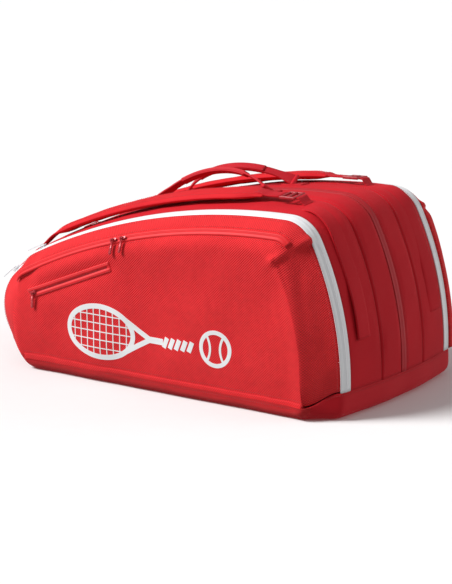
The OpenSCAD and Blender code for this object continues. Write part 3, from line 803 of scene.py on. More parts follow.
def boot(shell):
    s = shell.s
    vs = np.concatenate([np.linspace(0, shell.outer_edge, 24)[:-1],
                         np.linspace(shell.outer_edge, shell.side_v, 16)])
    side_n, foot_r = 90, 0.016
    noise = waves(71, 0.09)
    cover = Cover(shell, FRONT_SEED)

    def ring(t, d, lowest=0.0):
        def end_points(end):
            z = np.maximum(t * boot_line(shell, vs), lowest)
            inset = np.where(z < foot_r, foot_r - np.sqrt(np.maximum(foot_r ** 2 - (foot_r - z) ** 2, 0)), 0)
            row = np.stack([0 * z, z, 0 * z, 0 * z, np.ones_like(z), np.full_like(z, end)], -1)
            made = shell.skin(row, vs, d + inset)
            if end < 0:
                return made + np.stack([0.018 * (1 - smooth(z / s.boot_h)), 0 * z, 0 * z], -1)
            return shell.skin(row, vs, d + inset - cover.ridge(vs, made))
        wide, narrow = end_points(1.0), end_points(-1.0)[::-1]
        k = np.linspace(0, 1, side_n)[1:-1, None]
        return np.concatenate([wide, wide[-1] * (1 - k) + narrow[0] * k, narrow])
    levels = [0, 0.06, 0.14, 0.24, 0.36, 0.5, 0.66, 0.82, 0.93, 1.0]
    rings = [ring(t, 0.0) for t in levels] + [ring(t, 0.003, 0.003) for t in reversed(levels)]
    outside = len(levels)
    full = []
    for k, half in enumerate(rings):
        if k < outside:
            n = np.cross(np.gradient(half, axis=0), [0, 0, 1.0])
            n /= np.linalg.norm(n, axis=1, keepdims=True)
            n *= np.sign((n * half).sum(1, keepdims=True))
            swell = math.sin(math.pi * levels[k]) ** 0.7
            full_side = cover.flat_y(half[:, 0], np.full(len(half), cover.low)) - shell.half_w
            on_side = smooth((-half[:, 1] - shell.half_w + 0.030) / 0.030) * smooth((levels[k] - 0.05) / 0.75)
            on_end = (0.0010 + 0.0009 * noise(half)) * swell
            half = half + n * (on_end * (1 - on_side) + full_side * on_side)[:, None]
        full.append(np.concatenate([half, mirrored(half[1:-1][::-1])]))
    m = len(full[0])
    half_n = len(rings[0])
    verts = np.concatenate(full)
    faces = []
    for k in range(len(full) - 1):
        for j in range(m):
            j2 = (j + 1) % m
            faces.append((k * m + j, k * m + j2, (k + 1) * m + j2, (k + 1) * m + j))
    for base in (0, (len(full) - 1) * m):
        for j in range(half_n - 1):
            a, b = j, j + 1
            ma, mb = (m - a) % m, (m - b) % m
            faces.append(tuple(dict.fromkeys((base + a, base + b, base + mb, base + ma))))
    around = run_length(full[outside - 1])
    uv = np.concatenate([np.stack([around, np.full(m, 0.05 * k / 4)], -1) for k in range(len(full))])
    made = new_object("boot_shell", verts, faces, M["boot"], uv)
    fix_normals(made)
    made.data.materials.append(M["panel"])
    for face in made.data.polygons:
        if abs(face.center.y) > shell.half_w - 0.004 and face.center.z > 0.001:
            face.material_index = 1
    put(made, "bag_body", "boot_fabric", "base_boot")
    plate = ring(0.0, 0.0025)
    middle = plate * (1, 0, 1)
    share = np.linspace(0, 1, 12)[None, :, None]
    plate = middle[:, None] * (1 - share) + plate[:, None] * share
    for name, flip in (("base_stiffener_front", lambda q: q), ("base_stiffener_rear", mirrored)):
        top_face, low_face = plate + (0, 0, 0.0056), plate + (0, 0, 0.0034)
        put(sheet_solid(name, flip(top_face), flip(low_face), M["board"]), "bag_body", "board", "base_board")
    top = ring(1.0, -0.0012) - [0, 0, 0.0035]
    nrm = np.cross(np.gradient(top, axis=0), [0, 0, 1.0])
    nrm *= np.sign((nrm * top).sum(1, keepdims=True))
    stitch_rows("boot_stitching", [(top, nrm), (mirrored(top), mirrored(nrm))], "bag_body", "boot_fabric",
                s.stitch_pitch)


# ------------------------------------------------------------------ zips
def white_zips(shell):
    def lips(p, fv, fu):
        return 0.0007 * gauss(1 - fv, 0.16) - 0.0004 * gauss(fv - 0.62, 0.05) - 0.0003 * gauss(fv, 0.10)

    def build(side, flip, sy):
        rows = shell.rail(SEAM_Z, 0.006)
        for v0, v1, body, node in (
                (shell.inner_edge - 0.001, shell.split - 0.00025, "bag_body", "inner"),
                (shell.outer_edge + 0.001, shell.split + 0.00025, side + "_cover", "outer")):
            outer, inner = strip_grids(shell, rows, v0, v1, -0.0007, 0.0012, 16, lips)
            tape = sheet_solid(f"{side}_{node}_zip_tape", flip(outer), flip(inner), M["zip_white"])
            put(tape, body, "white_zip", f"{side}_{node}_tape")
    both_sides(build)


def centre_zip(shell):
    def lips(p, fv, fu):
        return 0.0008 * gauss(1 - fv, 0.3)

    def build(side, flip, sy):
        rows = shell.rail(SEAM_Z, 0.006)
        outer, inner = strip_grids(shell, rows, shell.s.small_tape_w / 2 + 0.001, 0.00035,
                                   -0.0004, 0.0014, 9, lips)
        put(sheet_solid(f"centre_{side}_tape", flip(outer), flip(inner), M["zip_centre"]), "bag_body",
            "red_zip",
            f"centre_zip_{side}_tape")
    both_sides(build)


def pocket_zips(shell):
    s = shell.s
    a1 = shell.nose_a - 0.020 / s.top_r

    def build(side, flip, sy):
        rows = np.concatenate([shell.corner_rail(shell.top_a - 0.80, 0.004),
                               shell.arc_rail(shell.top_a, a1, 0.004)])
        half = s.small_tape_w / 2

        def channel(p, fv, fu):
            ends = smooth(np.minimum(fu, 1 - fu) * 60)
            bead = 0.0009 * (gauss(fv - 0.20, 0.10) + gauss(fv - 0.80, 0.10)) * ends
            return bead - 0.0010 * gauss(fv - 0.5, 0.05) - 0.0007 * (1 - smooth(np.minimum(fv, 1 - fv) * 12))
        outer, inner = strip_grids(shell, rows, shell.pocket_v - half, shell.pocket_v + half,
                                   -0.0016, 0.0003, 26, channel)
        put(sheet_solid(side + "_pocket_zip_tape", flip(outer), flip(inner), M["zip_red"]), side + "_cover",
            "red_zip", side + "_pocket_zip")
        lines = []
        for v in (shell.pocket_v - half - 0.0030, shell.pocket_v + half + 0.0030):
            p, n = surface_line(shell, rows, v, 0.0008)
            lines.append((flip(p), n * (1, -sy, 1)))
        stitch_rows(side + "_pocket_stitching", lines, side + "_cover", "panel_fabric", s.stitch_pitch)
    both_sides(build)


def small_pocket(shell):
    s = shell.s
    cover = Cover(shell, FRONT_SEED)
    ax, az, lean = slanted_line(s)
    u = np.linspace(0, s.small_pocket_len, 110)
    w = np.linspace(-0.0085, 0.0085, 35)
    uu, ww = np.meshgrid(u, w, indexing="ij")
    x = ax + uu * math.cos(lean) - ww * math.sin(lean)
    z = az + uu * math.sin(lean) + ww * math.cos(lean)
    ends = smooth(np.minimum(uu, s.small_pocket_len - uu) / 0.004)
    edge = smooth((0.0085 - np.abs(ww)) / 0.0018)
    slot_depth = gauss(ww, 0.0022) * smooth((np.minimum(uu, s.small_pocket_len - uu) - 0.004) / 0.002)
    bead = gauss(np.abs(ww) - 0.0042, 0.0012)
    rise = 0.0002 + 0.0016 * np.minimum(edge, ends) - 0.0021 * slot_depth + 0.0006 * bead
    y = cover.flat_y(x, z)
    outer = np.stack([x, -(y + rise + 0.0004), z], -1)
    inner = np.stack([x, -(y - 0.0014), z], -1)
    put(sheet_solid("slanted_welt", outer, inner, M["zip_red"]), "front_cover", "red_zip", "small_pocket_zip")
    teeth_v, teeth_f = [], []
    for k in range(int((s.small_pocket_len - 0.012) / 0.0022)):
        uc = 0.006 + 0.0022 * k
        cx, cz = ax + uc * math.cos(lean), az + uc * math.sin(lean)
        yy = float(cover.flat_y(np.array([cx]), np.array([cz]))[0]) + 0.0004
        b = len(teeth_v)
        for half_u, half_w, h in ((0.0007, 0.0017, 0), (0.0004, 0.0012, 0.0007)):
            for du, dw in ((-half_u, -half_w), (half_u, -half_w), (half_u, half_w), (-half_u, half_w)):
                teeth_v.append((cx + du * math.cos(lean) - dw * math.sin(lean), -(yy + h),
                                cz + du * math.sin(lean) + dw * math.cos(lean)))
        for f in ((0, 3, 2, 1), (4, 5, 6, 7), (0, 1, 5, 4), (1, 2, 6, 5), (2, 3, 7, 6), (3, 0, 4, 7)):
            teeth_f.append(tuple(b + i for i in f))
    teeth = new_object("slanted_zip_coil", np.array(teeth_v), teeth_f, M["slider_red"])
    fix_normals(teeth)
    put(teeth, "front_cover", "red_zip")
    lines = []
    for off in (-0.0072, 0.0072):
        x = ax + u * math.cos(lean) - off * math.sin(lean)
        z = az + u * math.sin(lean) + off * math.cos(lean)
        lines.append((np.stack([x, -(cover.flat_y(x, z) + 0.0022), z], -1),
                      np.tile([0.0, -1.0, 0.0], (len(u), 1))))
    stitch_rows("slanted_stitching", lines, "front_cover", "panel_fabric", s.stitch_pitch)


def rounded_box(size, bevel, matrix, taper=1.0):
    """Vertices and faces of a box with rounded edges; taper narrows its front end."""
    bm = bmesh.new()
    bmesh.ops.create_cube(bm, size=1.0)
    for v in bm.verts:
        v.co = Vector((v.co.x * size[0], v.co.y * size[1] * (taper if v.co.x > 0 else 1.0), v.co.z * size[2]))
    bmesh.ops.bevel(bm, geom=bm.edges[:], offset=bevel, segments=3, profile=0.5, affect="EDGES")
    bm.transform(matrix)
    verts = np.array([v.co[:] for v in bm.verts])
    faces = [tuple(v.index for v in f.verts) for f in bm.faces]
    bm.free()
    return verts, faces


def ring_faces(n, m):
    """Faces of n rings of m points each, joined in order and capped at both ends."""
    faces = [(i * m + j, i * m + (j + 1) % m, (i + 1) * m + (j + 1) % m, (i + 1) * m + j)
             for i in range(n - 1) for j in range(m)]
    return faces + [tuple(range(m - 1, -1, -1)), tuple((n - 1) * m + j for j in range(m))]


def tube(path, radius, sides=10):
    """Vertices and faces of a round rod along a path of points."""
    path = np.asarray(path, float)
    tangent = np.gradient(path, axis=0)
    tangent /= np.linalg.norm(tangent, axis=1, keepdims=True)
    ref = np.array([0, 0, 1.0]) if abs(tangent[0, 2]) < 0.8 else np.array([0, 1.0, 0])
    rings = []
    for p, t in zip(path, tangent):
        a = np.cross(t, ref)
        if np.linalg.norm(a) < 0.2:
            a = np.cross(t, [0, 1.0, 0])
        a /= np.linalg.norm(a)
        ref = np.cross(a, t)
        for k in range(sides):
            q = 2 * math.pi * k / sides
            rings.append(p + radius * (math.cos(q) * a + math.sin(q) * ref))
    return np.array(rings), ring_faces(len(path), sides)


def merged(name, parts, material):
    verts, faces, base = [], [], 0
    for v, f in parts:
        verts.append(np.asarray(v))
        faces += [tuple(base + i for i in q) for q in f]
        base += len(v)
    made = new_object(name, np.concatenate(verts), faces, material)
    fix_normals(made)
    return made


def moved(matrix, parts):
    out = []
    for v, f in parts:
        out.append((np.array([(matrix @ Vector(p))[:] for p in v]), f))
    return out


def slider_parts(wide, long, low, high):
    """A slider: lower wing, top plate with a narrower nose, and the bridge that holds the pull."""
    t = Matrix.Translation
    mid = (low + high) / 2
    thick = high - low
    parts = [rounded_box((long, wide, thick * 0.42), 0.0006, t((0, 0, high - thick * 0.21)), 0.72),
             rounded_box((long * 0.86, wide * 0.86, thick * 0.36), 0.0005, t((0, 0, low + thick * 0.18)),
                         0.8),
             rounded_box((long * 0.4, wide * 0.3, thick * 0.6), 0.0004, t((long * 0.16, 0, mid)))]
    arc = [(-long * 0.30 + long * 0.56 * k / 8, 0, high + 0.0021 * math.sin(math.pi * k / 8) - 0.0004)
           for k in range(9)]
    parts.append(tube(arc, 0.0008))
    return parts


def pull_parts(long, wide, thick):
    """A pull lying along -X: wire ring round the bridge, then a moulded tab with a grip."""
    t = Matrix.Translation
    ring = [(0.0014 - 0.0042 + 0.0042 * math.cos(a), (wide / 2 - 0.0005) * math.sin(a), 0)
            for a in np.linspace(0.0, 2 * math.pi, 17)]
    parts = [tube(ring, 0.0007, 8)]
    body = long - 0.006
    outline = rounded_bar(body, wide, wide * 0.42, 5)
    rings = []
    for h, k in ((-thick / 2, 0.9), (-thick / 4, 1.0), (thick / 4, 1.0), (thick / 2, 0.9)):
        rings += [(-0.006 - body / 2 + x * (1 - (1 - k) * 0.15), y * k, h) for x, y in outline]
    parts.append((np.array(rings), ring_faces(4, len(outline))))
    for k in range(5):
        x = -0.006 - body * (0.45 + 0.1 * k)
        parts.append(rounded_box((0.0011, wide * 0.72, 0.0006), 0.00025, t((x, 0, thick / 2))))
    return parts


def sliders_and_pulls(shell):
    s = shell.s
    flip_y = Matrix.Diagonal((1, -1, 1, 1))
    top_c, nose_c = shell.top_c, shell.nose_c
    top_a = bearing(top_c, (-0.333 * s.bag_len, 0.636 * s.zip_h))
    nose_a = math.radians(130)
    twist = math.atan(2 * s.nose_taper / shell.split) - math.radians(1.5)
    foot, bail = 0.0003, 0.0064
    spots = []
    for side, v, tint, back in (("front", shell.split, "white", False), ("rear", shell.split, "white", True),
                                ("centre", 0.0, "red", False)):
        for place, c, r, a, lean in (("top", top_c, s.top_r, top_a, 0.0),
                                     ("nose", nose_c, s.nose_r, nose_a, twist)):
            m = shell.frame_at(c, r, a, v, 0.0, lean if v else 0.0)
            spots.append((f"{side}_{place}", flip_y @ m if back else m, tint))
    for name, m, tint in spots:
        parts = slider_parts(0.0105, s.slider_len, foot + 0.0006, 0.0052)
        body = merged(name + "_slider_body", moved(m, parts), M["slider_" + tint])
        put(body, name + "_slider", tint + "_slider", name + "_slider")
        m_pull = m @ Matrix.Translation((0, 0, bail + 0.0006))
        tab = merged(name + "_pull_tab", moved(m_pull, pull_parts(s.pull_len, PULL_W, PULL_T)),
                     M["slider_" + tint])
        put(tab, name + "_pull", tint + "_slider", name + "_pull")
    pocket_d, slider_t = 0.0014 + 3 * 0.0003, 0.003
    hang = Matrix.Rotation(-math.pi / 2, 4, "Y")
    turn_out = Matrix.Rotation(math.pi / 2, 4, "Z") @ hang
    for name, x, back in (("front_pocket_slider_left", -0.092, False),
                          ("front_pocket_slider_right", -0.064, False), ("rear_pocket_slider", -0.092, True)):
        a = bearing(top_c, (x * s.bag_len, 0.8 * s.zip_h))
        m = shell.frame_at(top_c, s.top_r, a, shell.pocket_v, -pocket_d - 0.0003)
        pin_high = pocket_d + 0.0003 + slider_t + 0.0016
        p = shell.frame_at(top_c, s.top_r, a, shell.pocket_v, -pin_high).translation
        mp = Matrix.Translation(p) @ Matrix.Rotation(-math.radians(18), 4, "X") @ turn_out
        if back:
            m, mp = flip_y @ m, flip_y @ mp
        body = merged(name + "_body", moved(m, slider_parts(0.0060, s.slider_len, 0.0002, slider_t)),
                      M["slider_red"])
        put(body, name, "red_slider", name)
        pull = name.replace("slider", "pull")
        tab = merged(pull + "_tab", moved(mp, pull_parts(s.pocket_pull_len, PULL_W, PULL_T)), M["slider_red"])
        put(tab, pull, "red_slider", pull)
    ax, az, lean = slanted_line(s)
    at = 0.012
    m = (Matrix.Translation((ax, -(shell.half_w + 0.0014 + 0.0006), az)) @ Matrix.Rotation(-lean, 4, "Y")
         @ Matrix.Rotation(math.pi / 2, 4, "X") @ Matrix.Translation((at + 0.0005, 0, 0)))
    body = merged("slanted_slider_body", moved(m, slider_parts(0.0064, s.slider_len - 0.002, 0.0004, 0.003)),
                  M["slider_red"])
    put(body, "small_pocket_slider", "red_slider", "small_pocket_slider")
    p = (ax + at * math.cos(lean), -(shell.half_w + 0.0014 + 0.005), az + at * math.sin(lean))
    tab = merged("slanted_pull_tab", moved(Matrix.Translation(p) @ turn_out,
                                           pull_parts(s.pocket_pull_len, PULL_W, PULL_T)), M["slider_red"])
    put(tab, "small_pocket_pull", "red_slider", "small_pocket_pull")


# ------------------------------------------------------------------ handles and straps
def oriented_rings(path, sides, ups, profile):
    """Vertices and faces of a flat band: a closed profile carried along a path."""
    prof = np.asarray(profile)
    rings = path[:, None] + prof[None, :, :1] * sides[:, None] + prof[None, :, 1:] * ups[:, None]
    return rings.reshape(-1, 3), ring_faces(len(path), len(prof))


def band(name, path, sides, ups, width, thick, material):
    """Webbing along a path, with its length and width in metres as the UV map."""
    prof = np.array(rounded_bar(width, thick, min(thick * 0.45, 0.0012), 3))
    verts, faces = oriented_rings(path, sides, ups, prof)
    along = run_length(path)
    uv = np.stack([np.repeat(along, len(prof)), np.tile(prof[:, 0], len(path))], -1)
    made = new_object(name, verts, faces, material, uv)
    fix_normals(made)
    return made


def carry_handles(shell):
    s = shell.s
    hub_r, tab_t, handle_y = 0.0045, 0.003, 0.041
    clear = tab_t + hub_r + 0.0006
    half_a = math.asin(s.handle_span / 2 / (s.top_r + clear))
    mid_a = bearing(shell.top_c, (0.024 * s.bag_len, s.zip_h))

    def end(k):
        return shell.frame_at(shell.top_c, s.top_r, mid_a + k * half_a, handle_y, -clear).translation
    left, right = end(1), end(-1)
    tilt = math.atan2(right.z - left.z, right.x - left.x)
    r = ((s.handle_span / 2) ** 2 + s.handle_rise ** 2) / (2 * s.handle_rise)
    arch = math.asin(s.handle_span / 2 / r)
    base = (Matrix.Translation((left + right) / 2) @ Matrix.Rotation(-tilt, 4, "Y")
            @ Matrix.Rotation(-s.handle_lean, 4, "X") @ Matrix.Rotation(math.pi / 2, 4, "X"))

    def build(side, flip, sy):
        a = np.linspace(-arch, arch, 72)
        flat = np.stack([r * np.sin(a), s.handle_rise - r + r * np.cos(a), 0 * a], -1)
        up = np.stack([np.sin(a), np.cos(a), 0 * a], -1)
        rot = np.array(base.to_3x3())
        path = flat @ rot.T + np.array(base.translation)
        ups = up @ rot.T
        sides = np.tile(rot @ [0, 0, 1.0], (len(a), 1))
        narrow = 1 - 0.40 * smooth((arch - np.abs(a)) / arch / 0.28)
        parts = [band(side + "_handle_band", flip(path), flip(sides * narrow[:, None]), flip(ups), s.handle_w,
                      0.0034, M["webbing"])]
        mid = slice(16, 56)
        parts.append(band("grip", flip(path[mid]), flip(sides[mid]), flip(ups[mid]), s.handle_w * 0.57,
                          0.0074, M["webbing"]))
        for k in (0, -1):
            ends = np.stack([path[k] - sides[k] * s.handle_w / 2, path[k] + sides[k] * s.handle_w / 2])
            line = np.linspace(ends[0], ends[1], 8)
            parts.append(merged("roll", [tube(flip(line), 0.0038, 14)], M["webbing"]))
        handle = joined(parts, side + "_handle_webbing")
        put(handle, side + "_handle", "webbing", side + "_handle")
        lines = []
        for off, keep, high in ((-0.42, slice(1, 16), 0.0018), (0.42, slice(1, 16), 0.0018),
                                (-0.42, slice(56, 71), 0.0018), (0.42, slice(56, 71), 0.0018),
                                (-0.36, mid, 0.0038), (0.36, mid, 0.0038)):
            out = sides[keep] * (narrow[keep] * s.handle_w * off)[:, None]
            lines.append((flip(path[keep] + out + ups[keep] * high), flip(ups[keep])))
        stitch_rows(side + "_handle_stitching", lines, side + "_handle", "webbing", s.stitch_pitch)
        patches, lines = [], []
        for k in (1, -1):
            m = shell.frame_at(shell.top_c, s.top_r, mid_a + k * half_a, handle_y)
            u = np.linspace(-0.0205, 0.0205, 14)
            height = 0.0017 + 0.0007 * np.exp(-((u / 0.005) ** 2)) + 0.0002
            pts = np.array([(m @ Vector((x, 0, h)))[:] for x, h in zip(u, height)])
            rot = np.array(m.to_3x3())
            side_v = np.tile(rot @ [0, 1.0, 0], (len(u), 1))
            up_v = np.tile(rot @ [0, 0, 1.0], (len(u), 1))
            patches.append(band("patch", flip(pts), flip(side_v), flip(up_v), s.handle_w, 0.0028,
                                M["webbing"]))
            w = s.handle_w / 2 - 0.003
            for x0 in (-0.019, 0.0065):
                x1 = x0 + 0.0125
                corners = [(x0, -w), (x1, -w), (x1, w), (x0, w), (x0, -w), (x1, w), (x1, -w), (x0, w)]
                for p, q in zip(corners[:-1], corners[1:]):
                    t = np.linspace(0, 1, 6)
                    row = np.array([(m @ Vector((p[0] + (q[0] - p[0]) * f,
                                                 p[1] + (q[1] - p[1]) * f, 0.0033)))[:]
                                    for f in t])
                    lines.append((flip(row), flip(np.tile(rot @ [0, 0, 1.0], (6, 1)))))
        put(joined(patches, side + "_handle_patches"), "bag_body", "webbing", side + "_handle_tabs")
        stitch_rows(side + "_handle_patch_stitching", lines, "bag_body", "webbing", 0.0032)
    both_sides(build)


def strap_layout(shell):
    """Angles along the top arc of the strap's pad, webbing, buckle and anchors, and its height."""
    s = shell.s
    mid_a = math.acos((-0.067 * s.bag_len - shell.top_c[0]) / s.top_r)
    half = s.strap_len / 2 / s.top_r
    pad = (mid_a - half, mid_a + half)
    buckle_a = pad[0] - 0.0304 / s.top_r
    return {"v": 0.095, "pad": pad, "left": shell.nose_a - 0.014 / s.top_r, "buckle": buckle_a,
            "right": buckle_a - 0.030 / s.top_r, "height": 0.0052 + s.strap_t / 2}


def on_arc(shell, angles, heights, v):
    """Points, side vectors and up vectors of a path over the gusset."""
    s = shell.s
    angles = np.asarray(angles, float)
    heights = np.broadcast_to(np.asarray(heights, float), angles.shape)
    rows = arc_rows(shell.top_c, s.top_r, angles)[:, None]
    at = shell.skin(rows, np.array([[v]]), -heights[:, None])[:, 0]
    off = shell.skin(rows, np.array([[v - 0.002]]), -heights[:, None])[:, 0]
    higher = shell.skin(rows, np.array([[v]]), -heights[:, None] - 0.002)[:, 0]
    sides = (off - at) / np.linalg.norm(off - at, axis=1, keepdims=True)
    ups = (higher - at) / np.linalg.norm(higher - at, axis=1, keepdims=True)
    return at, sides, ups


def shoulder_straps(shell):
    s = shell.s
    lay = strap_layout(shell)
    v, high = lay["v"], lay["height"]

    def build(side, flip, sy):
        n = 120
        a = np.linspace(lay["pad"][1], lay["pad"][0], n)
        run = np.linspace(0, 1, n)
        at, sides, ups = on_arc(shell, a, high, v)
        from_end = np.minimum(run, 1 - run) * s.strap_len
        wide = 0.5 * s.strap_w * (0.56 + 0.44 * smooth(from_end / 0.050))
        round_end = np.sqrt(np.clip(from_end / 0.006, 0, 1))
        thick = 0.5 * s.strap_t * (0.42 + 0.58 * smooth(from_end / 0.030)) * (0.5 + 0.5 * round_end)
        puff = 1 + 0.035 * np.sin(run * 31) + 0.02 * np.sin(run * 83 + 1)
        q = np.linspace(0, 2 * math.pi, 45)[:-1]
        cq, sq = np.cos(q), np.sin(q)
        px = np.sign(cq) * np.abs(cq) ** 0.55
        pz = np.sign(sq) * np.abs(sq) ** 0.80
        crown = np.where(pz > 0, 1 - 0.10 * px ** 2, 1 - 0.45 * px ** 2)
        rings = (at[:, None] + sides[:, None] * (wide[:, None, None] * px[None, :, None])
                 + ups[:, None] * ((thick * puff)[:, None, None] * (pz * crown)[None, :, None]))
        verts = flip(rings).reshape(-1, 3)
        uv = np.stack([np.repeat(run_length(at), len(q)), np.tile(px * s.strap_w / 2, n)], -1)
        pad = new_object(side + "_strap_cushion", verts, ring_faces(n, len(q)), M["strap"], uv)
        fix_normals(pad)
        put(pad, side + "_strap", "strap_fabric", side + "_strap_pad")
        rim = []
        for k in (1, -1):
            rim.append(tube(flip(at + sides * (wide * k * 0.985)[:, None]), 0.0016, 8))
        piping = merged(side + "_strap_piping", rim, M["gusset"])
        put(piping, side + "_strap", "strap_fabric")
        lines = []
        for k in (0.80, -0.80):
            keep = slice(4, -4)
            top = (thick * puff * 0.99)[:, None] * 0.86
            lines.append((flip((at + sides * (wide * k)[:, None] + ups * top)[keep]), flip(ups[keep])))
        stitch_rows(side + "_strap_stitching", lines, side + "_strap", "strap_fabric", s.stitch_pitch)

        a = np.linspace(lay["pad"][1] - 0.030 / s.top_r, lay["left"], 26)
        sink = 0.0065
        on_way = smooth((a - lay["pad"][1]) / (lay["left"] - lay["pad"][1]))
        p, sd, up = on_arc(shell, a, high - sink * on_way, v)
        web = [band("web", flip(p), flip(sd), flip(up), s.webbing_w, 0.003, M["webbing"])]
        a = np.linspace(lay["buckle"] + 0.001 / s.top_r, lay["pad"][0] + 0.050 / s.top_r, 18)
        lift = high + 0.0035 * smooth((a - lay["pad"][0] + 0.004 / s.top_r) * s.top_r / 0.012)
        p, sd, up = on_arc(shell, a, lift, v)
        web.append(band("web", flip(p), flip(sd), flip(up), s.webbing_w, 0.003, M["webbing"]))
        tab_lines = []
        for off in (-0.4, 0.4):
            tab_lines.append((flip((p + sd * s.webbing_w * off + up * 0.0016)[3:]), flip(up[3:])))
        for x0, x1 in ((0.008, 0.030), (0.030, 0.008)):
            f = np.linspace(0, 1, 10)
            aa = lay["pad"][0] + (x0 + (x1 - x0) * f) / s.top_r
            ll = high + 0.0035 * smooth((aa - lay["pad"][0] + 0.004 / s.top_r) * s.top_r / 0.012)
            c, cs, cu = on_arc(shell, aa, ll, v)
            tab_lines.append((flip(c + cs * ((f - 0.5) * 0.019)[:, None] + cu * 0.0016), flip(cu)))
        stitch_rows(side + "_strap_tab_stitching", tab_lines, side + "_strap", "webbing", 0.0032)
        put(joined(web, side + "_strap_web"), side + "_strap", "webbing", side + "_strap_webbing")

        a = np.linspace(lay["left"] + 0.0008 / s.top_r, shell.nose_a - 0.001 / s.top_r, 12)
        drop = high - (high + 0.0006) * smooth(np.linspace(0, 1, 12)) + 0.0019
        p, sd, up = on_arc(shell, a, np.minimum(drop, high - sink), v)
        anchors = [band("anchor", flip(p), flip(sd), flip(up), s.webbing_w, 0.003, M["webbing"])]
        a = np.linspace(lay["right"] - 0.0008 / s.top_r, lay["right"] - 0.0150 / s.top_r, 12)
        p, sd, up = on_arc(shell, a, np.minimum(drop, high), v)
        anchors.append(band("anchor", flip(p), flip(sd), flip(up), s.webbing_w, 0.003, M["webbing"]))
        put(joined(anchors, side + "_strap_anchor_web"), "bag_body", "webbing", side + "_strap_anchors")

        m = shell.frame_at(shell.top_c, s.top_r, lay["buckle"], v, -high)
        w, t = s.webbing_w + 0.009, Matrix.Translation
        bars = [rounded_box((0.0288, 0.0042, 0.0048), 0.0012, t((0.0149, k * (w / 2 - 0.0021), 0)))
                for k in (1, -1)]
        for x, deep, lift in ((0.0027, 0.0040, 0.0), (0.0155, 0.0044, 0.0007), (0.0270, 0.0044, 0.0)):
            bars.append(rounded_box((deep, w - 0.004, 0.0042), 0.0012, t((x, 0, lift))))
        frame_piece = merged(side + "_buckle_frame", moved(m, bars), M["buckle"])
        if sy > 0:
            frame_piece.data.transform(Matrix.Diagonal((1, -1, 1, 1)))
            frame_piece.data.flip_normals()
        put(frame_piece, side + "_buckle", "buckle_plastic", side + "_buckle")
    both_sides(build)


# ------------------------------------------------------------------ printed mark
def front_print(shell):
    """A plain racket and ball, printed in white low on the front panel."""
    s = shell.s
    cover = Cover(shell, FRONT_SEED)
    cx, cz = 0.012 * s.bag_len, 0.285 * s.zip_h

    def stroke(points, width, closed=False):
        p = np.asarray(points, float)
        seg = run_length(p)
        n = max(4, int(seg[-1] / 0.003))
        t = np.linspace(0, seg[-1], n)
        p = np.stack([np.interp(t, seg, p[:, 0]), np.interp(t, seg, p[:, 1])], -1)
        d = np.gradient(p, axis=0)
        if closed:
            d[0] = d[-1] = p[1] - p[-2]
        d /= np.linalg.norm(d, axis=1, keepdims=True)
        across = np.stack([-d[:, 1], d[:, 0]], -1)
        return p[:, None] + across[:, None] * np.linspace(-0.5, 0.5, 4)[None, :, None] * width

    def ellipse(x, z, rx, rz, n=90):
        a = np.linspace(0, 2 * math.pi, n)
        return [(x + rx * math.cos(k), z + rz * math.sin(k)) for k in a]
    hx, rx, rz = -0.098, 0.066, 0.043
    shapes = [stroke(ellipse(hx, 0, rx, rz), 0.0088, True)]
    for k in range(-4, 5):
        x = k * 0.0133
        h = rz * math.sqrt(1 - (x / rx) ** 2) - 0.003
        shapes.append(stroke([(hx + x, -h), (hx + x, h)], 0.0017))
    for k in range(-2, 3):
        z = k * 0.0140
        h = rx * math.sqrt(1 - (z / rz) ** 2) - 0.003
        shapes.append(stroke([(hx - h, z), (hx + h, z)], 0.0017))
    throat = hx + rx
    for k in (1, -1):
        shapes.append(stroke([(throat - 0.015, k * 0.0275), (throat + 0.010, k * 0.0130),
                              (throat + 0.034, 0)], 0.0085))
    shapes.append(stroke([(throat + 0.026, 0), (throat + 0.060, 0)], 0.0105))
    for k in range(5):
        x = throat + 0.064 + 0.0125 * k
        shapes.append(stroke([(x - 0.002, -0.0085), (x + 0.0045, 0.0085)], 0.0085))
    ball_x, ball_z, ball_r = 0.132, 0.004, 0.031
    ring = np.array(ellipse(ball_x, ball_z, ball_r - 0.0035, ball_r - 0.0035, 70))
    shapes.append(stroke(ring, 0.007, True))
    for k in (1, -1):
        bow = [(ball_x + k * (0.0095 + 0.0135 * (abs(q) / ball_r) ** 2), ball_z + q)
               for q in np.linspace(-ball_r + 0.006, ball_r - 0.006, 18)]
        shapes.append(stroke(bow, 0.0042))
    parts = []
    for k, g in enumerate(shapes):
        x, z = cx + g[..., 0], cz + g[..., 1]
        y = cover.flat_y(x, z)
        high = 0.00035 + 0.00004 * (k % 3)
        outer = np.stack([x, -(y + high), z], -1)
        inner = np.stack([x, -(y - 0.0006), z], -1)
        parts.append(sheet_solid("stroke", outer, inner, M["print"]))
    mark = joined(parts, "front_print")
    mark.data.polygons.foreach_set("use_smooth", np.zeros(len(mark.data.polygons), bool))
    put(mark, "front_cover", "white_zip")


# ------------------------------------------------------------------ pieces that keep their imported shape
def inner_pieces():
    for node in ("front_divider", "rear_divider", "front_pocket_pouch", "rear_pocket_pouch",
                 "small_pocket_pouch"):
        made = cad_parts[node]
        made.data.materials.clear()
        made.data.materials.append(M["lining"])


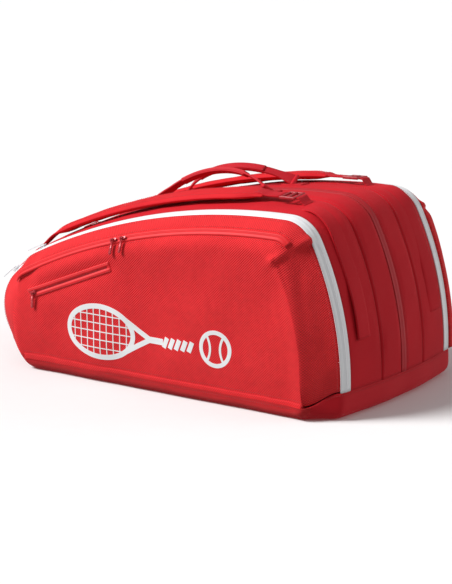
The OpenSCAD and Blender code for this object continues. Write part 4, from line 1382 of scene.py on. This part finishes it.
# ------------------------------------------------------------------ stage
def stage(context, colours):
    scene = context.scene
    target = Vector((0.014, 0.006, 0.128))
    az, el, distance = math.radians(34.5), math.radians(13.4), 4.0
    away = Vector((math.sin(az) * math.cos(el), -math.cos(az) * math.cos(el), math.sin(el)))
    data = bpy.data.cameras.new("studio_camera")
    data.lens = 145.48
    data.sensor_width = 36.0
    data.clip_end = 200.0
    data.dof.use_dof = False
    camera = bpy.data.objects.new("studio_camera", data)
    scene.collection.objects.link(camera)
    camera.location = target + away * distance
    camera.rotation_euler = (-away).to_track_quat("-Z", "Y").to_euler()
    scene.camera = camera
    scene.view_settings.view_transform = "Standard"

    world = bpy.data.worlds.new("studio")
    world.use_nodes = True
    sky = world.node_tree.nodes["Background"].inputs
    sky["Color"].default_value = (1.0, 1.0, 1.0, 1.0)
    sky["Strength"].default_value = 0.28
    scene.world = world

    def sun(name, energy, spread, towards):
        light = bpy.data.lights.new(name, "SUN")
        light.energy = energy
        light.angle = math.radians(spread)
        made = bpy.data.objects.new(name, light)
        scene.collection.objects.link(made)
        made.rotation_euler = Vector(towards).to_track_quat("-Z", "Y").to_euler()
    sun("key_light", 3.9, 24, (0.66, 0.58, -0.80))
    sun("end_light", 0.75, 40, (-0.76, -0.60, -0.25))

    reach = 40
    corners = [(x * reach, y * reach, 0) for x, y in ((-1, -1), (1, -1), (1, 1), (-1, 1))]
    mesh = bpy.data.meshes.new("studio_floor")
    mesh.from_pydata(corners, [], [(0, 1, 2, 3)])
    floor = bpy.data.objects.new("studio_floor", mesh)
    scene.collection.objects.link(floor)
    floor.data.materials.append(plain("studio floor", colours.floor, 0.8, variation=0.005))
    floor.visible_diffuse = False


# ------------------------------------------------------------------ add-on
def bag_shell(context):
    return Shell(context.scene.racket_bag_sizes)


class RACKETBAG_OT_stage(bpy.types.Operator):
    """Floor, light and camera of a plain studio"""
    bl_idname = "racket_bag.stage"
    bl_label = "Stage"

    def execute(self, context):
        stage(context, context.scene.racket_bag_colours)
        return {"FINISHED"}


class RACKETBAG_OT_materials(bpy.types.Operator):
    """Fabrics, coated tapes, plastics and thread"""
    bl_idname = "racket_bag.materials"
    bl_label = "Materials"

    def execute(self, context):
        make_materials(context.scene.racket_bag_colours)
        return {"FINISHED"}


class RACKETBAG_OT_side_covers(bpy.types.Operator):
    """Soft side panels with their linings, folds and seams"""
    bl_idname = "racket_bag.side_covers"
    bl_label = "Side covers"

    def execute(self, context):
        side_covers(bag_shell(context))
        return {"FINISHED"}


class RACKETBAG_OT_gussets(bpy.types.Operator):
    """Gussets of the three compartments, with their pleat flaps and seams"""
    bl_idname = "racket_bag.gussets"
    bl_label = "Gussets"

    def execute(self, context):
        gussets(bag_shell(context))
        return {"FINISHED"}


class RACKETBAG_OT_boot(bpy.types.Operator):
    """Base boot with its rounded lower edge"""
    bl_idname = "racket_bag.boot"
    bl_label = "Boot"

    def execute(self, context):
        boot(bag_shell(context))
        return {"FINISHED"}


class RACKETBAG_OT_zips(bpy.types.Operator):
    """Tapes of the main, centre and pocket zips, and the slanted pocket"""
    bl_idname = "racket_bag.zips"
    bl_label = "Zips"

    def execute(self, context):
        shell = bag_shell(context)
        white_zips(shell)
        centre_zip(shell)
        pocket_zips(shell)
        small_pocket(shell)
        return {"FINISHED"}


class RACKETBAG_OT_sliders(bpy.types.Operator):
    """Sliders and pulls of all the zips"""
    bl_idname = "racket_bag.sliders"
    bl_label = "Sliders and pulls"

    def execute(self, context):
        sliders_and_pulls(bag_shell(context))
        return {"FINISHED"}


class RACKETBAG_OT_handles(bpy.types.Operator):
    """Two webbing carry handles with their sewn patches"""
    bl_idname = "racket_bag.handles"
    bl_label = "Carry handles"

    def execute(self, context):
        carry_handles(bag_shell(context))
        return {"FINISHED"}


class RACKETBAG_OT_straps(bpy.types.Operator):
    """Two padded shoulder straps with webbing, buckles and anchors"""
    bl_idname = "racket_bag.straps"
    bl_label = "Shoulder straps"

    def execute(self, context):
        shoulder_straps(bag_shell(context))
        return {"FINISHED"}


class RACKETBAG_OT_print(bpy.types.Operator):
    """Plain racket and ball printed on the front panel"""
    bl_idname = "racket_bag.print"
    bl_label = "Printed mark"

    def execute(self, context):
        front_print(bag_shell(context))
        return {"FINISHED"}


class RACKETBAG_OT_inner(bpy.types.Operator):
    """Lining cloth on the dividers and pouches"""
    bl_idname = "racket_bag.inner"
    bl_label = "Inner pieces"

    def execute(self, context):
        inner_pieces()
        return {"FINISHED"}


class RACKETBAG_PT_panel(bpy.types.Panel):
    """Lists the steps that build the bag"""
    bl_label = "Racket Bag"
    bl_idname = "RACKETBAG_PT_panel"
    bl_space_type = "VIEW_3D"
    bl_region_type = "UI"
    bl_category = "Racket Bag"

    def draw(self, context):
        for step in STEPS:
            self.layout.operator(step.bl_idname)
        for group in (context.scene.racket_bag_sizes, context.scene.racket_bag_colours):
            box = self.layout.box()
            for name in group.__annotations__:
                box.prop(group, name)


STEPS = (RACKETBAG_OT_stage, RACKETBAG_OT_materials, RACKETBAG_OT_side_covers, RACKETBAG_OT_gussets,
         RACKETBAG_OT_boot, RACKETBAG_OT_zips, RACKETBAG_OT_sliders, RACKETBAG_OT_handles,
         RACKETBAG_OT_straps, RACKETBAG_OT_print, RACKETBAG_OT_inner)
CLASSES = (BagSizes, BagColours) + STEPS + (RACKETBAG_PT_panel,)


def register():
    for cls in CLASSES:
        bpy.utils.register_class(cls)
    bpy.types.Scene.racket_bag_sizes = bpy.props.PointerProperty(type=BagSizes)
    bpy.types.Scene.racket_bag_colours = bpy.props.PointerProperty(type=BagColours)


def unregister():
    del bpy.types.Scene.racket_bag_colours
    del bpy.types.Scene.racket_bag_sizes
    for cls in reversed(CLASSES):
        bpy.utils.unregister_class(cls)


def main():
    register()
    steps = bpy.ops.racket_bag
    steps.stage()
    steps.materials()
    steps.side_covers()
    steps.gussets()
    steps.boot()
    steps.zips()
    steps.sliders()
    steps.handles()
    steps.straps()
    steps.print()
    steps.inner()


if __name__ == "__main__":
    main()
